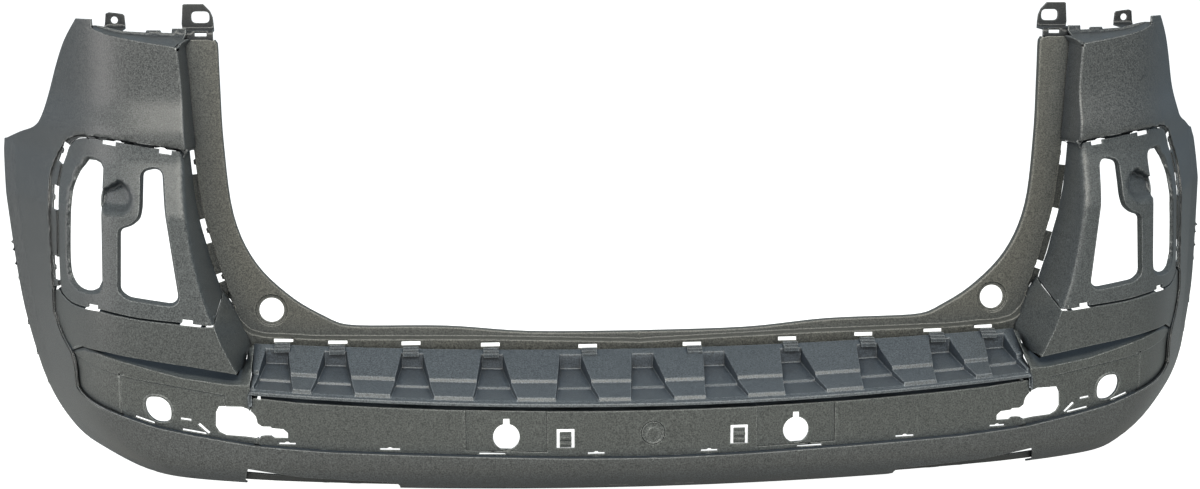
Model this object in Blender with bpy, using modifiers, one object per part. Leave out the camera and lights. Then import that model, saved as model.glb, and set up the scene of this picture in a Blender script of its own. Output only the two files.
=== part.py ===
"""Rear bumper cover of a compact SUV: a grained plastic skin with lamp pockets, step deck and panels.

Frame: X to the right as seen from behind the car, +Y towards the front of the car, +Z up.
The origin is on the centre line, halfway along the depth, level with the lowest edge.
Outlines are drawn as seen from behind, in (x, z), on the right-hand half; left pieces mirror them.
"""

import math

import bmesh
import bpy
from mathutils import Matrix, Vector
from mathutils.geometry import delaunay_2d_cdt

MM = 0.001

# Driving dimensions, in millimetres.
HALF_WIDTH = 926.0
REARMOST = -18.0
DEPTH = 464.0
WALL = 2.8
SPACING = 42.0
GAP = 0.6

CENTRE_FACE = -12.0
REAR_CROWN = 1.8e-4
SIDE_SLOPE = 1.45
CORNER_X = 745.0
CORNER_BLEND = 22.0
TUCK_TOP = 137.0
TUCK_RATE = 0.0055
SKIRT_TOP = 54.0
SKIRT_TUCK = 0.011
STEP_CROWN = 5.4e-5

ARCH_TOP = 444.0
ARCH_HEIGHT = 430.0
ARCH_LINEAR = 75.0
ARCH_QUARTIC = 85.0

POST_FOOT_Y = 150.0
POST_FOOT_Z = 197.0
POST_LEAN = 0.062

POCKET_RECESS = 5.0
RING_RECESS = 9.0
FLANGE_WIDTH = 9.0
WINDOW_DEPTH = 14.0
BAND_RECESS = 4.0
PANEL_RECESS = 6.0
INSET = 1.6

DECK_POCKETS = (0.0, 100.5, 209.0, 318.5, 423.0, 502.0)
DECK_END = 533.0
SILL_BOTTOM = 163.0
CLIP_CENTRES = (73.8, 210.1, 320.1, 420.6, 494.6)


# ---------------------------------------------------------------- surfaces


def lerp(a, b, t):
    return a + (b - a) * t


def chain(value, stops):
    """Straight-line interpolation through (key, result) stops, flat beyond the ends."""
    if value <= stops[0][0]:
        return stops[0][1]
    for (k0, r0), (k1, r1) in zip(stops, stops[1:]):
        if value <= k1:
            return lerp(r0, r1, (value - k0) / (k1 - k0))
    return stops[-1][1]


def lift(x):
    """How much the step, the centre panel and the skirt line rise away from the centre line."""
    return STEP_CROWN * x * x


def skin_y(x, z):
    """Depth of the outer skin at a point seen from behind: crown, forward lean, corner and tuck."""
    x = abs(x)
    lean = chain(z, ((232.0, 0.0), (372.0, 12.0), (452.0, 50.0), (627.0, 78.0)))
    corner = CORNER_X - TUCK_RATE * max(0.0, TUCK_TOP - z) ** 2
    ramp = (x - corner) / CORNER_BLEND
    ramp = ramp if ramp > 30.0 else math.log1p(math.exp(ramp))
    tuck = SKIRT_TUCK * max(0.0, SKIRT_TOP - z) ** 2
    return CENTRE_FACE + REAR_CROWN * x * x + lean + SIDE_SLOPE * CORNER_BLEND * ramp + tuck


def post_y(x, z):
    """Depth of the flat seal flange round the tailgate opening."""
    return POST_FOOT_Y + POST_LEAN * (z - POST_FOOT_Z)


def arch_x(z):
    """Distance of the wheel-arch edge from the centre line."""
    t = (ARCH_TOP - z) / ARCH_HEIGHT
    return HALF_WIDTH - ARCH_LINEAR * t - ARCH_QUARTIC * t**4


# ---------------------------------------------------------------- outlines


def smooth(points, steps=4):
    """Catmull-Rom curve through the points, with the ends kept."""
    out = []
    for i in range(len(points) - 1):
        p0 = points[max(i - 1, 0)]
        p1, p2 = points[i], points[i + 1]
        p3 = points[min(i + 2, len(points) - 1)]
        for k in range(steps):
            t = k / steps
            spot = []
            for a, b, c, d in zip(p0, p1, p2, p3):
                curve = 2 * b + (c - a) * t + (2 * a - 5 * b + 4 * c - d) * t * t
                spot.append(0.5 * (curve + (3 * b - a - 3 * c + d) * t**3))
            out.append(tuple(spot))
    out.append(tuple(points[-1]))
    return out


def circle(centre, radius, count=20, start=0.0, end=360.0):
    step = (end - start) / count
    angles = [math.radians(start + step * i) for i in range(count + (end - start < 360.0))]
    return [(centre[0] + radius * math.cos(a), centre[1] + radius * math.sin(a)) for a in angles]


def rounded(corners, radius, steps=3):
    """Closed outline with every corner rounded by the same radius where the sides allow it."""
    out = []
    count = len(corners)
    for i, point in enumerate(corners):
        here = Vector(point)
        before = Vector(corners[i - 1]) - here
        after = Vector(corners[(i + 1) % count]) - here
        reach = min(radius, before.length * 0.45, after.length * 0.45)
        start = here + before.normalized() * reach
        end = here + after.normalized() * reach
        for k in range(steps + 1):
            t = k / steps
            spot = start * (1 - t) ** 2 + here * (2 * t * (1 - t)) + end * t * t
            out.append((spot.x, spot.y))
    return out


def shifted(line, distance):
    """An open polyline moved sideways to its left by the distance."""
    out = []
    for i, point in enumerate(line):
        ahead = Vector(line[min(i + 1, len(line) - 1)]) - Vector(line[max(i - 1, 0)])
        ahead.normalize()
        out.append((point[0] - ahead.y * distance, point[1] + ahead.x * distance))
    return out


def along(line, distance):
    """(point, direction) at a distance along an open polyline."""
    for a, b in zip(line, line[1:]):
        a, b = Vector(a), Vector(b)
        size = (b - a).length
        if distance <= size:
            return a + (b - a) * (distance / size), (b - a) / size
        distance -= size
    return Vector(line[-1]), (Vector(line[-1]) - Vector(line[-2])).normalized()


def slot_on(line, distance, length, near, far):
    """Rectangular slot beside a polyline, from near to far on its left."""
    spot, ahead = along(line, distance)
    side = Vector((-ahead.y, ahead.x))
    half = ahead * (length / 2)
    start, end = spot - half, spot + half
    corners = (start + side * near, end + side * near, end + side * far, start + side * far)
    return [(c.x, c.y) for c in corners]


def notched(line, places, depth):
    """A polyline with rectangular notches, given by (centre, length), cut into its left side."""
    marks = []
    walked = 0.0
    for a, b in zip(line, line[1:] + line[-1:]):
        if all(abs(walked - centre) > length / 2 + 1.0 for centre, length in places):
            marks.append((walked, [a]))
        walked += (Vector(b) - Vector(a)).length
    for centre, length in places:
        near_a, near_b, far_b, far_a = slot_on(line, centre, length, 0.0, depth)
        marks.append((centre, [near_a, far_a, far_b, near_b]))
    return [point for _, points in sorted(marks) for point in points]


def inside(point, loop):
    x, z = point
    found = False
    for (x0, z0), (x1, z1) in zip(loop, loop[1:] + loop[:1]):
        if (z0 > z) != (z1 > z) and x < x0 + (z - z0) * (x1 - x0) / (z1 - z0):
            found = not found
    return found


def distance_to(point, line):
    """Shortest distance from a point to an open polyline."""
    best = 1e9
    spot = Vector(point)
    for a, b in zip(line, line[1:]):
        a, b = Vector(a), Vector(b)
        ray = b - a
        t = max(0.0, min(1.0, (spot - a).dot(ray) / max(ray.length_squared, 1e-9)))
        best = min(best, (spot - a - ray * t).length)
    return best


# ---------------------------------------------------------------- mesh tools


def key(x, z):
    return (round(x, 2), round(z, 2))


class Sheet:
    """An open surface over an outline seen from behind, before it gets its thickness."""

    def __init__(self, depth, spacing=SPACING):
        self.depth = depth
        self.spacing = spacing
        self.fixed = {}
        self.loops = []
        self.lines = []

    def fix(self, points, depth):
        """Gives these points their own depth rule."""
        for x, z in points:
            self.fixed[key(x, z)] = depth(x, z)

    def outline(self, points, depth=None):
        self.loops.append(list(points))
        if depth:
            self.fix(points, depth)

    def line(self, points, depth=None):
        self.lines.append(list(points))
        if depth:
            self.fix(points, depth)

    def holds(self, point):
        return inside(point, self.loops[0]) and not any(inside(point, hole) for hole in self.loops[1:])

    def grid(self):
        """Points between the lines, in staggered rows, clear of every edge."""
        outer = self.loops[0]
        closed = [loop + loop[:1] for loop in self.loops] + self.lines
        clear = self.spacing * 0.5
        x0, x1 = min(p[0] for p in outer), max(p[0] for p in outer)
        z0, z1 = min(p[1] for p in outer), max(p[1] for p in outer)
        rows = int((z1 - z0) / (self.spacing * 0.87)) + 1
        found = []
        for j in range(1, rows):
            z = z0 + j * (z1 - z0) / rows
            x = x0 + self.spacing * (0.5 if j % 2 else 1.0)
            while x < x1:
                point = (x, z)
                if self.holds(point) and all(distance_to(point, line) > clear for line in closed):
                    found.append(point)
                x += self.spacing
        return found

    def build(self):
        points, edges = [], []
        for loop in self.loops:
            first = len(points)
            points += loop
            edges += [(first + i, first + (i + 1) % len(loop)) for i in range(len(loop))]
        for line in self.lines:
            first = len(points)
            points += line
            edges += [(first + i, first + i + 1) for i in range(len(line) - 1)]
        points += self.grid()
        flat = [Vector(p) for p in points]
        spots, _, faces, *_ = delaunay_2d_cdt(flat, edges, [], 0, 0.01)
        mesh = bmesh.new()
        verts = []
        for spot in spots:
            y = self.fixed.get(key(spot.x, spot.y))
            if y is None:
                y = self.depth(spot.x, spot.y)
            verts.append(mesh.verts.new(Vector((spot.x, y, spot.y)) * MM))
        for face in faces:
            middle = sum((spots[i] for i in face), Vector((0.0, 0.0))) / len(face)
            if self.holds(middle):
                mesh.faces.new([verts[i] for i in face])
        loose = [v for v in mesh.verts if not v.link_faces]
        bmesh.ops.delete(mesh, geom=loose, context="VERTS")
        return mesh


def turn(mesh, move, chosen):
    """Turns the chosen stretch of a sheet's free edge over by a move in millimetres."""
    edges = []
    for edge in mesh.edges:
        if edge.is_boundary and all(chosen(v.co.x / MM, v.co.z / MM) for v in edge.verts):
            edges.append(edge)
    made = bmesh.ops.extrude_edge_only(mesh, edges=edges)["geom"]
    verts = [g for g in made if isinstance(g, bmesh.types.BMVert)]
    for vert in verts:
        vert.co += Vector(move) * MM
    return mesh


def beside(line, x_from=-1.0):
    """A rule that takes the points of a free edge that lie on a line, outboard of x_from."""

    def chosen(x, z):
        return x > x_from and distance_to((x, z), line) < 0.6

    return chosen


def material(name, colour, roughness, metallic=0.0):
    made = bpy.data.materials.get(name) or bpy.data.materials.new(name)
    made.use_nodes = True
    made.diffuse_color = (*colour, 1.0)
    shader = made.node_tree.nodes["Principled BSDF"]
    shader.inputs["Base Color"].default_value = (*colour, 1.0)
    shader.inputs["Roughness"].default_value = roughness
    shader.inputs["Metallic"].default_value = metallic
    return made


def place(name, mesh, finish, side=1.0, at=(0.0, 0.0, 0.0)):
    """Makes the object, mirrored for the left side, and hangs it on the cover's datum."""
    if side < 0:
        bmesh.ops.scale(mesh, verts=mesh.verts, vec=(-1.0, 1.0, 1.0))
        bmesh.ops.reverse_faces(mesh, faces=mesh.faces)
    data = bpy.data.meshes.new(name)
    mesh.to_mesh(data)
    mesh.free()
    data.materials.append(finish)
    obj = bpy.data.objects.new(name, data)
    obj.location = Vector(at) * MM
    obj.parent = datum
    parts.objects.link(obj)
    return obj


def mirror(obj):
    both = obj.modifiers.new("both_halves", "MIRROR")
    both.use_axis = (True, False, False)
    both.merge_threshold = 0.0001
    return obj


def thicken(obj, wall=WALL):
    shell = obj.modifiers.new("wall", "SOLIDIFY")
    shell.thickness = wall * MM
    shell.offset = -1.0
    return obj


def block(size, at, bevel=0.0):
    """A box mesh by its size and centre, in millimetres, with its edges rounded."""
    mesh = bmesh.new()
    bmesh.ops.create_cube(mesh, size=1.0)
    bmesh.ops.scale(mesh, verts=mesh.verts, vec=Vector(size) * MM)
    bmesh.ops.translate(mesh, verts=mesh.verts, vec=Vector(at) * MM)
    if bevel:
        bmesh.ops.bevel(mesh, geom=mesh.edges[:], offset=bevel * MM, segments=1, affect="EDGES")
    return mesh


def cut(obj, mesh, name):
    """Cuts a mesh out of an object with a hidden cutter."""
    data = bpy.data.meshes.new(name)
    mesh.to_mesh(data)
    mesh.free()
    cutter = bpy.data.objects.new(name, data)
    cutter.parent = datum
    cutter.hide_render = True
    cutter.display_type = "WIRE"
    cutters.objects.link(cutter)
    boolean = obj.modifiers.new(name, "BOOLEAN")
    boolean.operation = "DIFFERENCE"
    boolean.object = cutter


# ---------------------------------------------------------------- shared lines, right-hand half

POCKET_LINE = smooth(
    [(614, 459), (655, 464), (701, 470), (745, 475), (770, 472), (790, 461), (807, 445), (818, 424),
     (822, 394), (822, 336), (819, 303), (816, 263)], 3)
PANEL_EDGE = smooth(
    [(626, 453.5), (655, 457), (701, 463), (740, 467.5), (757, 466), (774, 457), (788, 443), (799, 424),
     (806, 398), (808, 372), (808, 330), (806, 300), (803, 268)], 2)
BAND_LINE = [(806, 257), (792, 250), (774, 244), (731, 243), (674, 237), (623, 230.5), (590, 228)]
BAND_LINE += [(577, 227)]
WING_LINE = [(814.5, 258), (815, 225), (800.5, 195), (784.5, 176), (777.5, 150), (776.5, 131)]
WING_LINE += [(762.5, 119.5), (742, 112)]
SKIRT_LINE = [(708, 103), (658, 89.3), (610, 81), (531, 70.5), (428, 64), (250, 59.3), (110, 55.3), (0, 54)]
POST_LINE = [(620, 602), (618, 555), (615, 481), (612, 458), (607, 431), (598, 357), (589, 323)]
POST_LINE += [(577, 282), (569, 260), (557, 218)]
SILL_CORNER = [(549, 206), (543, 197), (537, 190)]
OPENING = smooth([(575, 602), (574, 542), (571, 461), (560, 362), (531, 295), (481, 245), (429, 214)], 3)
OPENING += smooth([(396, 206), (271, 203), (153, 193), (0, 191)], 3)
CREASE = [(620, 446), (616, 420), (613, 381), (605, 321), (594, 271), (580, 233)]
HORN_EDGE = [(624, 594), (620, 547), (617, 499), (614, 459)]
HORN_CREASE = [(741, 621), (707, 608), (665, 599.5), (624, 594)]
OUTER_OPENING = [(581, 94), (580, 113), (576, 121)]
MIDDLE_OPENING = [(566, 121.5), (545, 122), (536, 119), (533, 117)]
INNER_OPENING = [(529, 113), (526, 109), (524, 100), (518, 96), (507, 96), (505, 94), (490, 93)]
INNER_OPENING += [(484, 88), (484, 81), (502, 81), (506, 84), (514, 84), (520, 83), (522, 79)]


def skirt_edge(x):
    return 10.0 + 2.2e-5 * x * x


def panel_inset(x):
    """How far the lower panels sit in from the skin: flush in the middle, recessed at the corners."""
    return chain(abs(x), ((500.0, 0.0), (620.0, PANEL_RECESS)))


def sill_rise(x):
    return chain(abs(x), ((0.0, 0.0), (221.0, 8.0), (456.0, 17.0), (537.0, 23.0)))


# ---------------------------------------------------------------- the skin


def cover_y(x, z):
    """The skin with its flared wheel-arch lip, and with the skirt standing proud in the middle."""
    y = skin_y(x, z)
    if x < 620.0 and z < 110.0:
        y += panel_inset(x) - PANEL_RECESS
    lip = 24.0 - (arch_x(z) - x)
    if lip > 0.0 and z < 450.0:
        y -= 0.5 * lip * chain(z, ((115.0, 0.0), (210.0, 1.0)))
    return y


def ring_y(x, z):
    """The ring round a lamp pocket: deep at the top, nearly flush where the corner turns away."""
    return skin_y(x, z) + chain(x, ((765.0, RING_RECESS), (800.0, POCKET_RECESS)))


TOP_NOTCHES = ((20, 34), (96, 34))
OUTER_SLOTS = ((204, 28), (272, 36), (367, 34))


def cover_outline():
    """Bottom edge, wheel arch, shoulder and horn top, from the centre line outwards and up."""
    notch = [(337, skirt_edge(337)), (345, 29.5), (476, 33.5), (536, 37.6), (542, skirt_edge(542))]
    bottom = [(x, skirt_edge(x)) for x in (0, 90, 180, 270)] + notch
    bottom += [(x, skirt_edge(x)) for x in (610, 670, 725, 750)] + [(770, 26), (781, 31.5)]
    arch = [(arch_x(z), z) for z in (38, 60, 90, 125, 165, 205, 250, 295, 340, 385, 425)]
    shoulder = [(926, 444), (890, 460), (857, 473), (841, 490), (825, 530), (811, 565), (794, 599)]
    shoulder += [(771, 630)]
    top = [(745, 630), (744.5, 621.5), (726, 620), (693, 611), (666, 610), (663, 613), (647, 613)]
    top += [(644, 610), (628, 610)]
    return bottom + arch + smooth(shoulder, 2) + top


def horn_wall_y(x, z):
    return post_y(x, z) - 1.5


def under_edge(x, z):
    return z < skirt_edge(x) + 1.5 and x < 730


def arch_edge(x, z):
    return x > arch_x(z) - 1.5 and 30 < z < 446


def wing_edge(x, z):
    return beside(WING_LINE + SKIRT_LINE, 0.5)(x, z) and z < 257


def cover_skin():
    sheet = Sheet(cover_y)
    wall = [(624.5, 610)] + [(x - 3.0, z) for x, z in HORN_EDGE]
    ring = notched(shifted(PANEL_EDGE, 1.3), TOP_NOTCHES, 3.4)
    step = shifted(POCKET_LINE, -1.2)
    ring[0] = (step[0][0] + 11.0, ring[0][1])
    sheet.outline(cover_outline() + wall + [(616, 456.5)] + ring + WING_LINE + SKIRT_LINE)
    sheet.fix(wall, horn_wall_y)
    sheet.line(HORN_EDGE)
    sheet.fix(ring + [(616, 456.5)], ring_y)
    sheet.line(POCKET_LINE)
    sheet.line(step[1:], ring_y)
    for distance, length in OUTER_SLOTS:
        sheet.outline(slot_on(POCKET_LINE, distance, length, -4.0, -9.6), ring_y)
    sheet.line(HORN_CREASE)
    sheet.line([(x, z + 1.5) for x, z in HORN_CREASE], flange_y)
    sheet.fix([p for p in cover_outline() if p[1] > 605 and p[0] < 735], flange_y)
    sheet.line([(arch_x(z) - 24.0, z) for z in (425, 385, 340, 295, 250, 205, 165, 125, 90)])
    mesh = sheet.build()
    turn(mesh, (0.0, 26.0, -skirt_edge(0.0)), under_edge)
    turn(mesh, (-13.0, 7.0, 0.0), arch_edge)
    turn(mesh, (0.0, 14.0, 0.0), wing_edge)
    return thicken(mirror(place("cover_skin", mesh, grained("cover_plastic", COVER_GREY))))


def sill_face(x, z):
    return 137.0


def behind_post(x, z):
    return post_y(x, z) + 9.0


def drain_seat(x, z):
    return post_y(x, z) + 3.0


def tailgate_frame():
    sheet = Sheet(post_y)
    lower = [(x, SILL_BOTTOM + sill_rise(x)) for x in (531, 456, 340, 221, 110, 0)]
    flange = shifted(POST_LINE[3:9], 11.0)
    step = shifted(POST_LINE[3:9], 1.2)
    outer = POST_LINE[:3] + flange + POST_LINE[9:] + SILL_CORNER
    sheet.outline(OPENING[::-1] + outer + lower)
    sheet.fix(flange, behind_post)
    sheet.line(step, behind_post)
    sheet.line(POST_LINE[3:9])
    sheet.fix(SILL_CORNER + lower, sill_face)
    shelf = [(x, 184 + sill_rise(x)) for x in (0, 74, 148, 221, 300, 380, 456, 528)] + [(551, 216)]
    sheet.line(shelf)
    sheet.line([(x, z - 4.5) for x, z in shelf[:-1]] + [(546, 209)], sill_face)
    for distance, length in ((21, 34), (121, 34), (186, 11)):
        sheet.outline(slot_on(POST_LINE[3:9], distance, length, 2.4, 7.2), behind_post)
    for x in CLIP_CENTRES:
        low = SILL_BOTTOM + 9.0 + sill_rise(x)
        slot = [(x - 12, low), (x + 12, low), (x + 12, low + 5.5), (x - 12, low + 5.5)]
        sheet.outline(slot, sill_face)
    drain = (511, 231)
    sheet.outline(circle(drain, 16.8), drain_seat)
    sheet.line(circle(drain, 21.0) + circle(drain, 21.0)[:1], drain_seat)
    sheet.line(circle(drain, 22.4) + circle(drain, 22.4)[:1])
    mesh = sheet.build()
    turn(mesh, (0.0, 12.0, 0.0), beside(OPENING))
    return thicken(mirror(place("tailgate_frame", mesh, grained("frame_plastic", FRAME_GREY))))


# ---------------------------------------------------------------- corner pieces, built for one side

WINDOW_OUTER = [(755, 441), (741, 440), (732, 437), (729, 431), (728.5, 412), (728.5, 403), (728.5, 394)]
WINDOW_OUTER += [(728.5, 385), (728.5, 376), (730, 282), (736, 272), (744, 270), (764, 271), (778, 279)]
WINDOW_OUTER += [(782.5, 292), (783, 340), (780, 382), (775, 404), (767, 423)]
RIM_OUTER = [(761, 446), (741, 445), (729, 442), (725, 433), (724.5, 412), (724.5, 403), (724.5, 394)]
RIM_OUTER += [(724.5, 385), (724.5, 376), (725.5, 280), (732, 268), (743, 264.5), (764, 264), (781, 270)]
RIM_OUTER += [(791, 284), (793, 300), (791, 341), (788, 376), (783, 401), (774, 424)]
WINDOW_INNER = [(670, 429), (657, 431), (649, 426), (643.5, 383), (627, 268), (633, 259), (693, 265.5)]
WINDOW_INNER += [(703, 274), (702, 354), (687, 359), (676, 368), (671.5, 382)]
SCOOP_CENTRE = (707.0, 392.5)
SCOOP_RADIUS = 25.0
SCOOP_DEPTH = 18.0


def scoop(x, z):
    """Extra depth inside the round scoop beside the outer window."""
    far = math.hypot(x - SCOOP_CENTRE[0], z - SCOOP_CENTRE[1]) / SCOOP_RADIUS
    return SCOOP_DEPTH * math.sqrt(max(0.0, 1.0 - far * far))


def edge_x(line, z):
    """x of a line that runs downwards, at a height."""
    return chain(z, sorted((pz, px) for px, pz in line))


def lamp_y(x, z):
    """Lamp face outboard of the crease, then a facet back to the post."""
    crease = edge_x(CREASE, z)
    if x >= crease:
        return skin_y(x, z) + POCKET_RECESS + scoop(x, z)
    inner = edge_x(POST_LINE, z) + 2.0
    share = min(1.0, max(0.0, (crease - x) / (crease - inner)))
    return lerp(skin_y(crease, z) + POCKET_RECESS, post_y(x, z) - 2.0, share)


def outer_window_y(x, z):
    return skin_y(x, z) + POCKET_RECESS + WINDOW_DEPTH + 0.4 * scoop(x, z)


def inner_window_y(x, z):
    return skin_y(x, z) + POCKET_RECESS + 9.0


def lamp_pocket(name, side):
    sheet = Sheet(lamp_y, 36.0)
    bottom = [(x, z + 3.6) for x, z in BAND_LINE[1:-1]] + [(578.6, 229.0)]
    inner = [(x + 3.2, z) for x, z in POST_LINE[-2:3:-1]]
    inner[0] = (571.8, 259.2)
    sheet.outline(inner + [(614.4, 442), (620, 446)] + PANEL_EDGE + bottom)
    sheet.outline(WINDOW_OUTER, outer_window_y)
    sheet.outline(WINDOW_INNER, inner_window_y)
    sheet.line(RIM_OUTER + RIM_OUTER[:1])
    sheet.line(grown(WINDOW_INNER, 3.4))
    arc = circle(SCOOP_CENTRE, SCOOP_RADIUS, 14, 48.0, 312.0)
    sheet.line(arc)
    for share in (0.4, 0.75):
        sheet.line(circle(SCOOP_CENTRE, SCOOP_RADIUS * share, 8, 60.0, 300.0))
    sheet.line(CREASE)
    mesh = sheet.build()
    turn(mesh, (0.0, 7.0, 0.0), beside(PANEL_EDGE[:9]))
    turn(mesh, (0.0, 4.0, 0.0), beside(bottom))
    return thicken(place(name, mesh, grained("lamp_plastic", LAMP_GREY), side), 2.4)


def grown(loop, distance):
    """A closed outline moved outwards, returned as a closed line."""
    area = sum(a[0] * b[1] - b[0] * a[1] for a, b in zip(loop, loop[1:] + loop[:1]))
    sign = 1.0 if area > 0 else -1.0
    out = []
    for i, point in enumerate(loop):
        ahead = Vector(loop[(i + 1) % len(loop)]) - Vector(loop[i - 1])
        ahead.normalize()
        out.append((point[0] + sign * ahead.y * distance, point[1] - sign * ahead.x * distance))
    return out + out[:1]


def band_y(x, z):
    return skin_y(x, z) + BAND_RECESS


def behind_band(x, z):
    return band_y(x, z) + 12.0


BAND_LOWER = [(549, 168.5), (612, 174), (669, 181), (728, 188), (766, 188.5), (781, 182)]
BAND_RIDGE = [(577, 227), (549, 168.5)]
BAND_FACET = [(571.8, 257), (560.5, 218), (552.5, 206), (546.5, 196), (541, 188.5)]


def facet_y(x, z):
    """Depth of the band's inboard edge, where its facet meets the tailgate frame."""
    return chain(z, ((188.5, 126.0), (196.0, 134.0), (206.0, 139.0), (218.0, 148.0), (257.0, 150.5)))


def corner_band(name, side):
    sheet = Sheet(band_y)
    upper = shifted(BAND_LINE[:-1], -FLANGE_WIDTH)
    step = shifted(BAND_LINE[:-1], -1.2)
    outer = [(798.5, 196), (813.2, 225), (812.8, 253)]
    sheet.outline(BAND_FACET + BAND_LOWER + outer + upper + step[-1:] + BAND_LINE[-2:])
    sheet.fix(upper, behind_band)
    sheet.line(BAND_LINE[:-1])
    sheet.line(step, behind_band)
    sheet.fix(BAND_FACET, facet_y)
    sheet.line(BAND_RIDGE)
    for distance, length in ((58, 26), (200, 28)):
        sheet.outline(slot_on(BAND_LINE, distance, length, -2.4, -7.2), behind_band)
    mesh = sheet.build()
    turn(mesh, (0.0, 9.0, 0.0), beside(BAND_LOWER))
    return thicken(place(name, mesh, grained("band_plastic", BAND_GREY), side), 2.4)


SHELF_EDGE = [(533, 151.5), (560, 151.5), (624, 158.5), (692, 174.5), (740, 184), (764, 185.5)]
SHELF_BACK = [(533, 176), (547, 172), (562, 161), (624, 167), (692, 181), (740, 187), (764, 186.8)]
PLATE_TOP = [(567, 137), (618, 144), (670, 151.5), (709, 158)]
PLATE_TOP_OUTER = [(710, 158.2), (745, 166), (779.5, 174)]
SENSOR_HOLE = [(676, 121), (671, 131), (653, 131), (643, 123), (640, 113), (641, 101), (648, 96), (662, 97)]
SENSOR_HOLE += [(673, 107)]


def panel_y(x, z):
    return skin_y(x, z) + panel_inset(x)


def inset_y(x, z):
    return panel_y(x, z) + INSET


def shelf_y(x, z):
    """Depth of the back of the shelf above a corner panel, deepest at its inboard end."""
    depths = ((533, 78.0), (547, 68.0), (562, 46.0), (624, 44.0), (692, 34.0), (740, 14.0), (764, 5.0))
    return skin_y(x, z) + chain(x, depths)


def corner_panel(name, side):
    sheet = Sheet(panel_y)
    wing = [(780, 174.5), (775.5, 150), (774.8, 132), (761.5, 121), (741, 113.6), (710, 104.6)]
    outline = MIDDLE_OPENING[::-1] + [(566, 136.6)] + PLATE_TOP[1:-1] + [(709, 157.5)]
    sheet.outline(outline + [(709.4, 104.6)] + wing[:-1][::-1] + SHELF_BACK[::-1])
    sheet.fix(SHELF_BACK, shelf_y)
    sheet.line(SHELF_EDGE)
    sheet.line(PLATE_TOP_OUTER)
    lower = [(x, z - 1.3) for x, z in PLATE_TOP_OUTER[:-1]] + [(778.5, 172.5)]
    sheet.line(lower, inset_y)
    sheet.fix([(709.4, 104.6)] + wing[1:-1], inset_y)
    mesh = sheet.build()
    return thicken(place(name, mesh, grained("panel_plastic", PANEL_GREY), side), 2.4)


def sensor_plate(name, side):
    sheet = Sheet(inset_y)
    top = [(x, z - 1.4) for x, z in PLATE_TOP[:-1]] + [(707.4, 156.2)]
    bottom = [(707.4, 104.1), (658, 90.3), (610, 82), (531, 71.5), (523.6, 70.6)]
    opening = [(523.6, 79.4), (541, 81), (567, 82), (576, 86)] + OUTER_OPENING + [(567.5, 121.4)]
    sheet.outline([(567.5, 135.4)] + top[1:] + bottom + opening)
    sheet.outline(rounded(SENSOR_HOLE, 6.0, 2))
    sheet.outline([(628, 103.5), (614, 102), (614, 99.5), (628, 101)])
    sheet.outline([(602, 97), (588.5, 85), (591.5, 83), (605, 94.5)])
    sheet.outline([(690, 103.5), (664, 96), (664, 93.6), (690, 101)])
    sheet.outline([(626, 88.6), (594, 84.2), (594, 82), (626, 86.3)])
    mesh = sheet.build()
    return thicken(place(name, mesh, grained("panel_plastic", PANEL_GREY), side), 2.4)


def insert_y(x, z):
    return cover_y(x, z) + 9.0


def lower_insert(name, side):
    sheet = Sheet(insert_y)
    bottom = [(x, skirt_edge(x) + 2.0) for x in (342, 410, 480, 537)]
    sheet.outline(bottom + [(531, 29), (478, 28), (474, 31.6), (348, 28)])
    return thicken(place(name, sheet.build(), grained("insert_plastic", INSERT_GREY), side), 2.4)


# ---------------------------------------------------------------- centre


def centre_top(x):
    return 117.5 + lift(x)


def centre_bottom(x):
    return chain(abs(x), sorted(SKIRT_LINE)) + 1.0


KEYHOLE = (195.0, 84.0)
KEYHOLE_RADIUS = 17.6
KEYHOLE_PLATE = (141.0, 249.0)
PLATE_FLOOR = 6.0
LATCH = (105.0, 128.5, 68.5, 94.0)
LATCH_LEG = 3.6
SNAP_SLOTS = ((76.0, 11.0), (349.0, 13.0), (485.0, 11.0))


def plate_y(x, z):
    return skin_y(x, z) + 0.8


def keyhole_y(x, z):
    return plate_y(x, z) + INSET


def panel_top(x, z):
    return z > centre_top(x) - 1.0 and x < 519


DISC_HOLE = 15.6


def centre_panel():
    sheet = Sheet(plate_y)
    x0, x1 = KEYHOLE_PLATE
    floor = PLATE_FLOOR
    top = [(x, centre_top(x)) for x in (470, 427, 360, 300)] + [(x1, centre_top(x1))]
    dip = [(x1, centre_bottom(x1) + floor), (x0, centre_bottom(x0) + floor)]
    dip += [(x0, centre_top(x0)), (0, centre_top(0))]
    right = [(530, 122), (530.5, 115.5)] + INNER_OPENING + [(522, centre_bottom(522))]
    bottom = [(x, centre_bottom(x)) for x in (0, 110, 195, 250, 340, 428)]
    sheet.outline(bottom + right[::-1] + [(526, 130), (518, 132.4)] + top + dip)
    sheet.outline(latch_slot())
    for x, half in SNAP_SLOTS:
        sheet.outline(snap_slot(x, half))
    mesh = sheet.build()
    turn(mesh, (0.0, 16.0, 2.5), panel_top)
    panel = mirror(place("centre_panel", mesh, grained("panel_plastic", PANEL_GREY)))
    thicken(panel, 2.6)
    disc = bmesh.new()
    hole = DISC_HOLE * MM
    bmesh.ops.create_cone(disc, cap_ends=True, segments=32, radius1=hole, radius2=hole, depth=0.02)
    bmesh.ops.rotate(disc, verts=disc.verts, matrix=Matrix.Rotation(math.radians(90.0), 3, "X"))
    bmesh.ops.translate(disc, verts=disc.verts, vec=Vector((0.0, CENTRE_FACE, 87.0)) * MM)
    cut(panel, disc, "disc_cutter")
    return panel


def latch_slot():
    """The upside-down U round a latch tongue, closed into a rectangle; the tongue fills its middle."""
    x0, x1, z0, z1 = LATCH
    return [(x0, z0), (x0, z1), (x1, z1), (x1, z0)]


def snap_slot(x, half):
    z = centre_bottom(x) + 6.0
    left = [(x - half, z), (x - half, z + 2.4), (x - 3, z + 2.4), (x - 1.5, z + 4)]
    return left + [(2 * x - a, b) for a, b in reversed(left)]


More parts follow.
